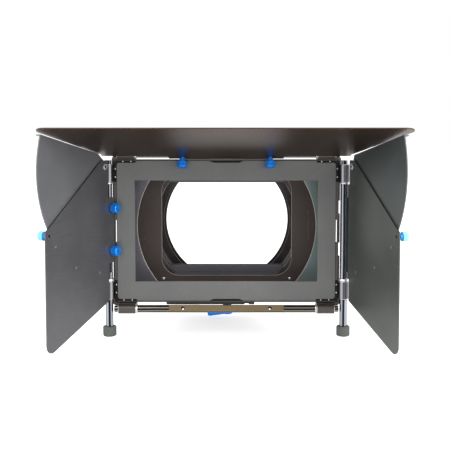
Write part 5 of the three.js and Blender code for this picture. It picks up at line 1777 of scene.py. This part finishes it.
    def fan(self) -> None:
        """Fan flap with its narrow folded lip."""
        thickness, edge, word = SHEET_OUTER - SHEET_INNER, self.edge, self.side.word
        if self.side is Side.RIGHT:
            front = SHEET_OUTER + self.fan_gap
            lip = (front, front + self.lip_width)
        else:
            front = SHEET_INNER - self.fan_gap - thickness
            lip = (front + thickness - self.lip_width, front + thickness)
        top = math.radians(edge.slope)
        lean = Vector((math.cos(top), math.sin(top)))
        corner = Vector(self.pivot) + Vector((-lean.y, lean.x)) * edge.rise + lean * edge.corner
        last = edge.slope + math.degrees(math.asin(edge.rise / self.fan_radius))
        outline = [
            (corner.x, corner.y),
            *arc(self.pivot, self.hub_radius, 90 + edge.slope, 270 + self.fan_bottom_angle, 14),
            *arc(self.pivot, self.fan_radius, self.fan_bottom_angle, last, 48),
        ]
        hole = circle(self.pivot_hole, self.pivot)
        flap = self.plate(f"{word}_fan_sheet", outline, (front, front + thickness), [hole], self.sheet_edge)
        turn = self.at(x=self.pivot[0], z=self.pivot[1]) @ Matrix.Rotation(-top, 4, "Y")
        length = math.sqrt(self.fan_radius**2 - edge.rise**2)
        low, high = edge.rise - self.lip_thickness, edge.rise - HAIR
        fold = block("fold", (self.lip_start, lip[0], low), (length, lip[1], high), turn)
        combined(flap, [ease_edges(fold, self.lip_edge)], Solver.JOIN)
        # Each side's fan has its own colour, with light and shade painted in
        self.dress(flap, Finishes.fan[self.side], "grey_sheet", f"{word}_fan_flap", f"{word}_fan")


@dataclass
class FilterStage(Assembly):
    """Housing with two slots and its two filter trays."""

    corner_radius: float = 4.0
    stage_edge: float = 0.4
    opening_radius: float = 75.5
    opening_half_h: float = 58.0
    slot_half: float = 78.3
    slot_floor: float = -57.35
    slots: tuple[float, ...] = (50.0, 58.0)
    slot_depth: float = 5.6
    tab_half: float = 20.0
    tab_height: float = 10.0
    tab_taper: float = 4.0
    tray_radius: float = 1.5
    tab_radius: float = 2.0
    clear_half_w: float = 69.5
    clear_half_h: float = 44.5
    clear_radius: float = 3.0
    glass_half_w: float = 72.2
    glass_half_h: float = 51.25
    glass_depth: float = 4.0
    grips: tuple[float, ...] = (3.0, 5.0, 7.0)
    grip_depth: float = 0.5
    grip_width: float = 0.8

    def build(self) -> None:
        """Makes the housing and the trays."""
        size = self.size("stage_frame")
        middle = (0.0, size.z)
        outline = rounded_box(size.right, (size.top - size.bottom) / 2, self.corner_radius, middle)
        reach = math.degrees(math.asin(self.opening_half_h / self.opening_radius))
        bore = [
            *arc((0, 0), self.opening_radius, -reach, reach, 24),
            *arc((0, 0), self.opening_radius, 180 - reach, 180 + reach, 24),
        ]
        shell = self.plate("filter_stage", outline, size.depth, [bore], self.stage_edge)
        half, low, top = self.slot_half, self.slot_floor, size.top + OVERRUN
        tools = [self.block("slot", (-half, y, low), (half, y + self.slot_depth, top)) for y in self.slots]
        combined(shell, tools, Solver.CUT)
        self.dress(shell, Finishes.stage, "black_anodised", "stage_frame")
        for word in ("front", "rear"):
            self.tray(word)

    def tray(self, word: str) -> None:
        """One tray, "front" or "rear": frame, pocket for the glass and a finger tab.

        Args:
            word: Which tray it is.
        """
        size = self.size(f"{word}_tray")
        shoulder, start = size.top - self.tab_height, size.front - OVERRUN
        half = [
            (size.right, size.bottom, self.tray_radius),
            (size.right, shoulder, self.tray_radius),
            (self.tab_half, shoulder, self.tab_radius),
            (self.tab_half - self.tab_taper, size.top, self.tab_radius),
        ]
        clear = rounded_box(self.clear_half_w, self.clear_half_h, self.clear_radius)
        tray = self.plate(f"filter_tray_{word}", filleted(both_halves(half)), size.depth, [clear])
        wide, high, floor = self.glass_half_w, self.glass_half_h, size.front + self.glass_depth
        tools = [self.block("pocket", (-wide, start, -high), (wide, floor, high))]
        x, y = self.tab_half / 2, size.front + self.grip_depth
        for down in self.grips:
            z = size.top - down
            tools.append(self.block("grip", (-x, start, z), (x, y, z + self.grip_width)))
        combined(tray, tools, Solver.CUT)
        self.dress(tray, Finishes.tray, "black_anodised", f"{word}_tray", f"{word}_tray_body")


@dataclass
class LensSide(Assembly):
    """Rotating ring in its housing, lens port, rubber seal and the swing-away arm."""

    facets: int = 144
    wall: float = 2.4
    flange: float = 2.5
    flange_radius: float = 75.5
    windows: tuple[float, ...] = (0, 90, 180)
    window_angle: float = 44.0
    window_edge: float = 6.0
    ring_seat: float = 76.3
    ring_lip: float = 69.6
    ring_back: float = 73.0
    ring_back_length: float = 5.2
    ring_lip_thickness: float = 2.5
    ring_edge: float = 0.3
    grips: int = 16
    grip_depth: float = 0.8
    port_radius: float = 67.5
    port_facets: int = 120
    foot_half: float = 22.0
    foot_radius: float = 2.0
    seal_inner: float = 68.2
    seal_lip: float = 0.8
    seal_edge: float = 0.15
    groove: Corner = (0.9, 2.0, 0.5)
    groove_slope: float = 0.3
    arm_thickness: float = 4.0
    arm_radius: float = 1.5
    arm_edge: float = 0.4
    arm_lap: float = 0.5
    knuckle: Knuckle = Knuckle()

    def build(self) -> None:
        """Makes the pieces from the stage backwards."""
        self.ring_housing()
        self.rotating_ring()
        self.port()
        self.seal()
        self.arm()

    def ring(self, name: str, profile: Sequence[Point], edge: float) -> Object:
        """A large ring about the optical axis, with all its corners rounded."""
        return turned(name, eased(profile, edge, True), self.place, closed=True, segments=self.facets)

    def ring_housing(self) -> None:
        """Short drum with three finger windows."""
        size = self.size("ring_housing")
        outer, bore, inner = size.top, size.top - self.wall, self.flange_radius
        front, back, step = size.front, size.back, size.front + self.flange
        profile = [(inner, front), (outer, front), (outer, back), (bore, back), (bore, step), (inner, step)]
        drum = self.ring("ring_drum", profile, self.ring_edge)
        half, depth = self.window_angle / 2, (step + self.window_edge, back - self.window_edge)
        tools = []
        for middle in self.windows:
            inside = arc((0, 0), bore - OVERRUN, middle + half, middle - half, 16)
            outside = arc((0, 0), outer + OVERRUN, middle - half, middle + half, 16)
            tools.append(self.plate("window", [*outside, *inside], depth, (), CLOSE))
        combined(drum, tools, Solver.CUT)
        self.dress(drum, Finishes.stage, "black_anodised", "ring_housing")

    def rotating_ring(self) -> None:
        """Ring for a round filter, with grip notches round its rim."""
        size = self.size("rotating_ring")
        outer = max(size.top, size.right)
        lip_end = size.back - self.ring_back_length
        lip_start = lip_end - self.ring_lip_thickness
        profile = [
            (self.ring_seat, size.front),
            (outer, size.front),
            (outer, size.back),
            (self.ring_back, size.back),
            (self.ring_back, lip_end),
            (self.ring_lip, lip_end),
            (self.ring_lip, lip_start),
            (self.ring_seat, lip_start),
        ]
        ring = self.ring("filter_ring", profile, self.ring_edge)
        notch = shaft(2 * self.grip_depth, *size.through)
        round_rim = circle(outer + self.grip_depth, steps=self.grips)
        tools = [turned("grip", notch, self.at(x=x, z=z), segments=16) for x, z in round_rim]
        combined(ring, tools, Solver.CUT)
        self.dress(ring, Finishes.stage, "black_paint", "rotating_ring", "ring")

    def port(self) -> None:
        """Lens port: a disc with a foot that the arm is fixed to."""
        size, foot = self.size("lens_port_plate"), self.foot_half
        half = math.degrees(math.asin(foot / size.right))
        corners = [(-foot, -size.right, 0.0)]
        corners += [(x, size.bottom, self.foot_radius) for x in (-foot, foot)]
        rim = arc((0, 0), size.right, -90 + half, 270 - half, self.port_facets)
        hole = circle(self.port_radius, steps=self.port_facets)
        disc = self.plate("lens_port", [*rim, *filleted(corners)[1:]], size.depth, [hole])
        self.dress(disc, Finishes.stage, "black_anodised", "lens_port_plate")

    def seal(self) -> None:
        """Rubber ring with a sloped lip and a shallow groove."""
        size, lip, inner = self.size("lens_seal"), self.seal_lip, self.seal_inner
        outer, slope = size.right, (size.back - size.front) / 3
        start, end, deep = size.front + self.groove[0], size.front + self.groove[1], self.groove[2]
        slant = self.groove_slope
        groove = [(outer, start), (outer - deep, start + slant), (outer - deep, end - slant), (outer, end)]
        back = [(outer, size.back - slope), (outer - slope, size.back), (inner + lip, size.back)]
        profile = [(inner, size.front), (outer, size.front), *groove, *back, (inner, size.back - lip)]
        ring = self.ring("lens_rubber", profile, self.seal_edge)
        self.dress(ring, Finishes.seal, "seal_rubber", "lens_seal")

    def arm(self) -> None:
        """Arm with its knuckle on the clamp's pin."""
        size, port, pin = self.size("swing_arm"), self.size("lens_port_plate"), self.size("hinge_pin")
        middle, knuckle = (size.x, size.z), self.knuckle
        outline = rounded_box(size.right - middle[0], size.top - middle[1], self.arm_radius, middle)
        depth = (port.back, port.back + self.arm_thickness)
        bar = self.plate("swing_away_arm", outline, depth, (), self.arm_edge)
        low, high = knuckle.level - knuckle.half, knuckle.level + knuckle.half
        spot = self.at(pin.x, pin.y)
        barrel = eased(shaft(knuckle.radius, low, high), self.arm_edge)
        start = (size.left, port.back + self.arm_lap, low)
        tools = [
            self.block("web", start, (pin.x + knuckle.radius, pin.y, high)),
            turned("knuckle", barrel, spot, Axis.Z),
        ]
        combined(bar, tools, Solver.JOIN)
        bore = turned("bore", shaft(knuckle.bore, low - OVERRUN, high + OVERRUN), spot, Axis.Z)
        combined(bar, [bore], Solver.CUT)
        self.dress(bar, Finishes.black, "black_anodised", "swing_arm")


@dataclass
class RailClamp(Assembly):
    """Clamp for two rails, with its jaw, blue lever and hinge pin."""

    knuckle: Knuckle = Knuckle()
    ear_gap: float = 8.0
    ear_lap: float = 0.5
    heel_lap: float = 1.0
    rail_radius: float = 7.7
    rail_half: float = 30.0
    travel: float = 0.8
    floor_thickness: float = 2.9
    pocket_half: float = 31.3
    clamp_edge: float = 0.5
    jaw_edge: float = 0.3
    jaw_play: float = 0.3
    relief_middle: float = 22.0
    relief_half: float = 2.5
    relief_height: float = 1.2
    screw_radius: float = 2.5
    hub_radius: float = 6.0
    hub_edge: float = 0.6
    lever_length: float = 22.5
    lever_half: float = 3.0
    lever_edge: float = 0.8
    lever_radii: Point = (2.0, 2.5)
    lever_drop: float = 15.6
    lever_collar: float = 4.6
    lever_root: float = 12.6
    collar_step: float = 1.0
    pin_radius: float = 2.9
    pin_head: float = 4.5
    pin_head_height: float = 1.8
    pin_edge: float = 0.35
    pin_slot: Point = (0.6, 0.9)
    body = "rail_clamp"

    def build(self) -> None:
        """Makes the four pieces."""
        self.clamp()
        self.jaw()
        self.lever()
        self.pin()

    def rails(self, depth: Point) -> list[Object]:
        """Two bars to bore the rail holes with.

        Args:
            depth: Where the bars start and end, front to back.

        Returns:
            The two bars.
        """
        bar = shaft(self.rail_radius, *depth)
        spots = [self.at(side.value * self.rail_half, z=self.knuckle.level) for side in Side]
        return [turned("rail", bar, spot, segments=72) for spot in spots]

    def clamp(self) -> None:
        """Body: two rail bores, a pocket for the jaw and two ears for the pin."""
        size, jaw, pin = self.size("rail_clamp_body"), self.size("clamp_jaw"), self.size("hinge_pin")
        knuckle, half, left = self.knuckle, self.pocket_half, pin.x + self.ear_gap
        floor, spot = knuckle.level - self.rail_radius - self.floor_thickness, self.at(pin.x, pin.y)
        body = self.block("clamp_block", (left, size.front, floor), (size.right, size.back, size.top))
        heel = (-half, size.back, floor + self.heel_lap)
        parts = [self.block("heel", (left, size.front, jaw.bottom), heel)]
        gap = (knuckle.level + knuckle.half_gap, knuckle.level - knuckle.half_gap)
        for low, high in ((gap[0], size.top), (jaw.bottom, gap[1])):
            end = (left + self.ear_lap, pin.y + knuckle.radius, high)
            parts.append(turned("ear", shaft(knuckle.radius, low, high), spot, Axis.Z))
            parts.append(self.block("ear", (pin.x, size.front, low), end))
        combined(body, parts, Solver.JOIN)
        low, (start, back) = jaw.bottom - OVERRUN, size.through
        pocket = self.block("pocket", (-half, start, low), (half, back, knuckle.level + self.travel))
        bore = turned("bore", shaft(knuckle.bore, low, size.top + OVERRUN), spot, Axis.Z)
        combined(body, [*self.rails(size.through), pocket, bore], Solver.CUT)
        ease_edges(body, self.clamp_edge)
        self.dress(body, Finishes.black, "black_anodised", "rail_clamp_body")

    def jaw(self) -> None:
        """Jaw that wedges up between the rails, with two reliefs in its foot."""
        size, top = self.size("clamp_jaw"), self.knuckle.level
        body = self.block("clamp_shoe", (size.left, size.front, size.bottom), (size.right, size.back, top))
        tools = self.rails(size.through)
        start, end = size.through
        low, high = size.bottom - OVERRUN, size.bottom + self.relief_height
        for side in Side:
            x = sorted(side.value * (self.relief_middle + k * self.relief_half) for k in (-1, 1))
            tools.append(self.block("relief", (x[0], start, low), (x[1], end, high)))
        bore = shaft(self.screw_radius + self.jaw_play, low, top + OVERRUN)
        tools.append(turned("bore", bore, self.at(y=size.y), Axis.Z))
        combined(body, tools, Solver.CUT)
        ease_edges(body, self.jaw_edge)
        self.dress(body, Finishes.hood, "black_anodised", "clamp_jaw")

    def lever(self) -> None:
        """Blue handle with its hub, under a black collar and screw."""
        size, half = self.size("clamp_lever"), self.lever_half
        top, middle, end = self.size("clamp_jaw").bottom - self.jaw_play, size.y, -self.lever_length
        under, root, step = top - self.lever_collar, top - self.lever_root, self.collar_step
        upper, lower = self.lever_radii
        corners = [(0, under, 0.0), (end + half, under, upper), (end, under - half, upper)]
        corners += [(end, top - self.lever_drop, lower), (0, root, 0.0)]
        depth = (middle - half, middle + half)
        handle = self.plate("blue_lever", filleted(corners), depth, (), self.lever_edge)
        parts = [
            turned(word, eased(shaft(radius, low, high), edge), self.at(y=middle), Axis.Z)
            for word, radius, low, high, edge in (
                ("hub", self.hub_radius, root, under, self.hub_edge),
                ("collar", self.hub_radius - step, under - step, top, self.jaw_edge),
                ("screw", self.screw_radius, top - step, size.top, self.jaw_edge),
            )
        ]
        combined(handle, parts, Solver.JOIN)
        self.dress(handle, Finishes.blue, "blue_anodised", "clamp_lever", "lever")
        self.paint(handle, Finishes.black, lambda at, normal: at.z > under + CLOSE)

    def pin(self) -> None:
        """Hinge pin with a slotted head."""
        size = self.size("hinge_pin")
        wide, head, low, top = self.pin_radius, self.pin_head, size.bottom, size.top
        seat = top - self.pin_head_height
        profile = [(0, low), (wide, low), (wide, seat), (head, seat), (head, top), (0, top)]
        spot = self.at(size.x, size.y)
        made = turned("swing_pin", eased(profile, self.pin_edge), spot, Axis.Z)
        x, (y, deep) = head + OVERRUN, self.pin_slot
        slot = block("slot", (-x, -y, top - deep), (x, y, top + OVERRUN), spot)
        combined(made, [slot], Solver.CUT)
        self.dress(made, Finishes.screw, "steel_screw", "hinge_pin")


@dataclass(frozen=True)
class Softbox:
    """A square lamp: its name, its place and side in metres and its power in watts."""

    name: str
    at: tuple[float, float, float]
    side: float
    power: float


@dataclass
class Studio:
    """Pale floor, soft lamps, white surroundings and the camera of the photograph."""

    floor_half: float = 6.0
    floor_glow: float = 0.68
    world_light: float = 0.7
    lamps: tuple[Softbox, ...] = (
        Softbox("key_softbox", (-0.9, -1.3, 1.2), 1.2, 20.0),
        Softbox("fill_softbox", (1.2, -1.2, 0.8), 1.2, 22.0),
        Softbox("top_softbox", (0.0, 0.3, 1.7), 1.4, 9.0),
    )
    lamps_look_at: tuple[float, float, float] = (0, -0.12, 0.08)
    camera_at: tuple[float, float, float] = (0.00625, -0.9145, 0.20059)
    camera_tilt: float = 86.0
    lens: float = 64.62
    sensor: float = 36.0
    shift: Point = (-0.0169, -0.1187)
    clip: Point = (0.01, 50)

    def build(self) -> None:
        """Sets up everything that isn't the object."""
        self.floor()
        self.world()
        for lamp in self.lamps:
            self.softbox(lamp)
        self.camera()
        bpy.context.scene.view_settings.view_transform = "Standard"

    def seen_directly(self, tree: Tree) -> Socket:
        """One where a ray comes from the camera, a mirror or glass, and nought elsewhere.

        Args:
            tree: Node tree to add it to.

        Returns:
            The socket that holds it.
        """
        path = add_node(tree, "LightPath")
        both = {0: path["Is Camera Ray"], 1: path["Is Glossy Ray"]}
        both = {0: add_node(tree, "Math", both, operation="ADD")["Value"], 1: path["Is Transmission Ray"]}
        return add_node(tree, "Math", both, operation="ADD", use_clamp=True)["Value"]

    def floor(self) -> None:
        """Floor under the lowest point of the object: white paper that glows where it is seen."""
        low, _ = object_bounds()
        shape = bmesh.new()
        bmesh.ops.create_grid(shape, x_segments=1, y_segments=1, size=self.floor_half)
        floor = from_bmesh("studio_floor", shape, Matrix.Translation((0, 0, low.z - MM)))
        material, tree = bare_material("white_paper_sweep")
        paper = add_node(tree, "BsdfPrincipled", {"Base Color": linear("#E8E8E8"), "Roughness": 0.9})["BSDF"]
        level = {0: self.seen_directly(tree), 1: self.floor_glow}
        glow = add_node(tree, "Math", level, operation="MULTIPLY")["Value"]
        light = add_node(tree, "Emission", {"Color": WHITE, "Strength": glow})["Emission"]
        both = add_node(tree, "AddShader", {0: paper, 1: light})["Shader"]
        add_node(tree, "OutputMaterial", {"Surface": both})
        floor.data.materials.append(material)
        floor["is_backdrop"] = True

    def world(self) -> None:
        """White surroundings: full white where they are seen, a plain level where they light the object."""
        world = bpy.data.worlds.new("white_room")
        bpy.context.scene.world = world
        world.use_nodes = True
        tree = world.node_tree
        tree.nodes.clear()
        levels = {"Value": self.seen_directly(tree), "To Min": self.world_light, "To Max": 1.0}
        strength = add_node(tree, "MapRange", levels)["Result"]
        light = add_node(tree, "Background", {"Color": WHITE, "Strength": strength})["Background"]
        add_node(tree, "OutputWorld", {"Surface": light})

    def softbox(self, lamp: Softbox) -> None:
        """A lamp that looks at the object.

        Args:
            lamp: Its name, place, side and power.
        """
        data = bpy.data.lights.new(lamp.name, "AREA")
        data.size = lamp.side
        data.energy = lamp.power
        made = link(lamp.name, data)
        made.location = lamp.at
        sight = Vector(self.lamps_look_at) - Vector(lamp.at)
        made.rotation_euler = sight.to_track_quat("-Z", "Y").to_euler()

    def camera(self) -> None:
        """Camera at the photograph's angle, framed for a square picture."""
        data = bpy.data.cameras.new("camera")
        data.lens = self.lens
        data.sensor_width = self.sensor
        data.shift_x, data.shift_y = self.shift
        data.clip_start, data.clip_end = self.clip
        made = link("camera", data)
        made.location = self.camera_at
        made.rotation_euler = (math.radians(self.camera_tilt), 0, 0)
        bpy.context.scene.camera = made


def main() -> None:
    """Builds the box piece by piece, then the studio."""
    logging.basicConfig(level=logging.INFO, format="%(name)s %(message)s")
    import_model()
    frame = Frame.read()
    rods = HingeRods()
    kit = Fasteners()
    left_edge = FanEdge(rise=11.0, slope=13.2, corner=11.0)
    right_edge = FanEdge(rise=11.1, slope=13.0, corner=3.0)
    assemblies = [
        FrontFrame(frame),
        HoodInside(frame),
        CornerBrackets(frame),
        TopFlag(frame, rods, kit),
        LowerRod(frame, rods),
        SideWing(frame, rods, kit, Side.LEFT, swing=64.9, edge=left_edge, near_edge=4.4, tab_bottom=-30.5),
        SideWing(frame, rods, kit, Side.RIGHT, swing=71.8, edge=right_edge),
        FilterStage(frame),
        LensSide(frame),
        RailClamp(frame),
    ]
    for assembly in assemblies:
        assembly.build()
        LOG.info("%s is built", type(assembly).__name__)
    Studio().build()


if __name__ == "__main__":
    main()
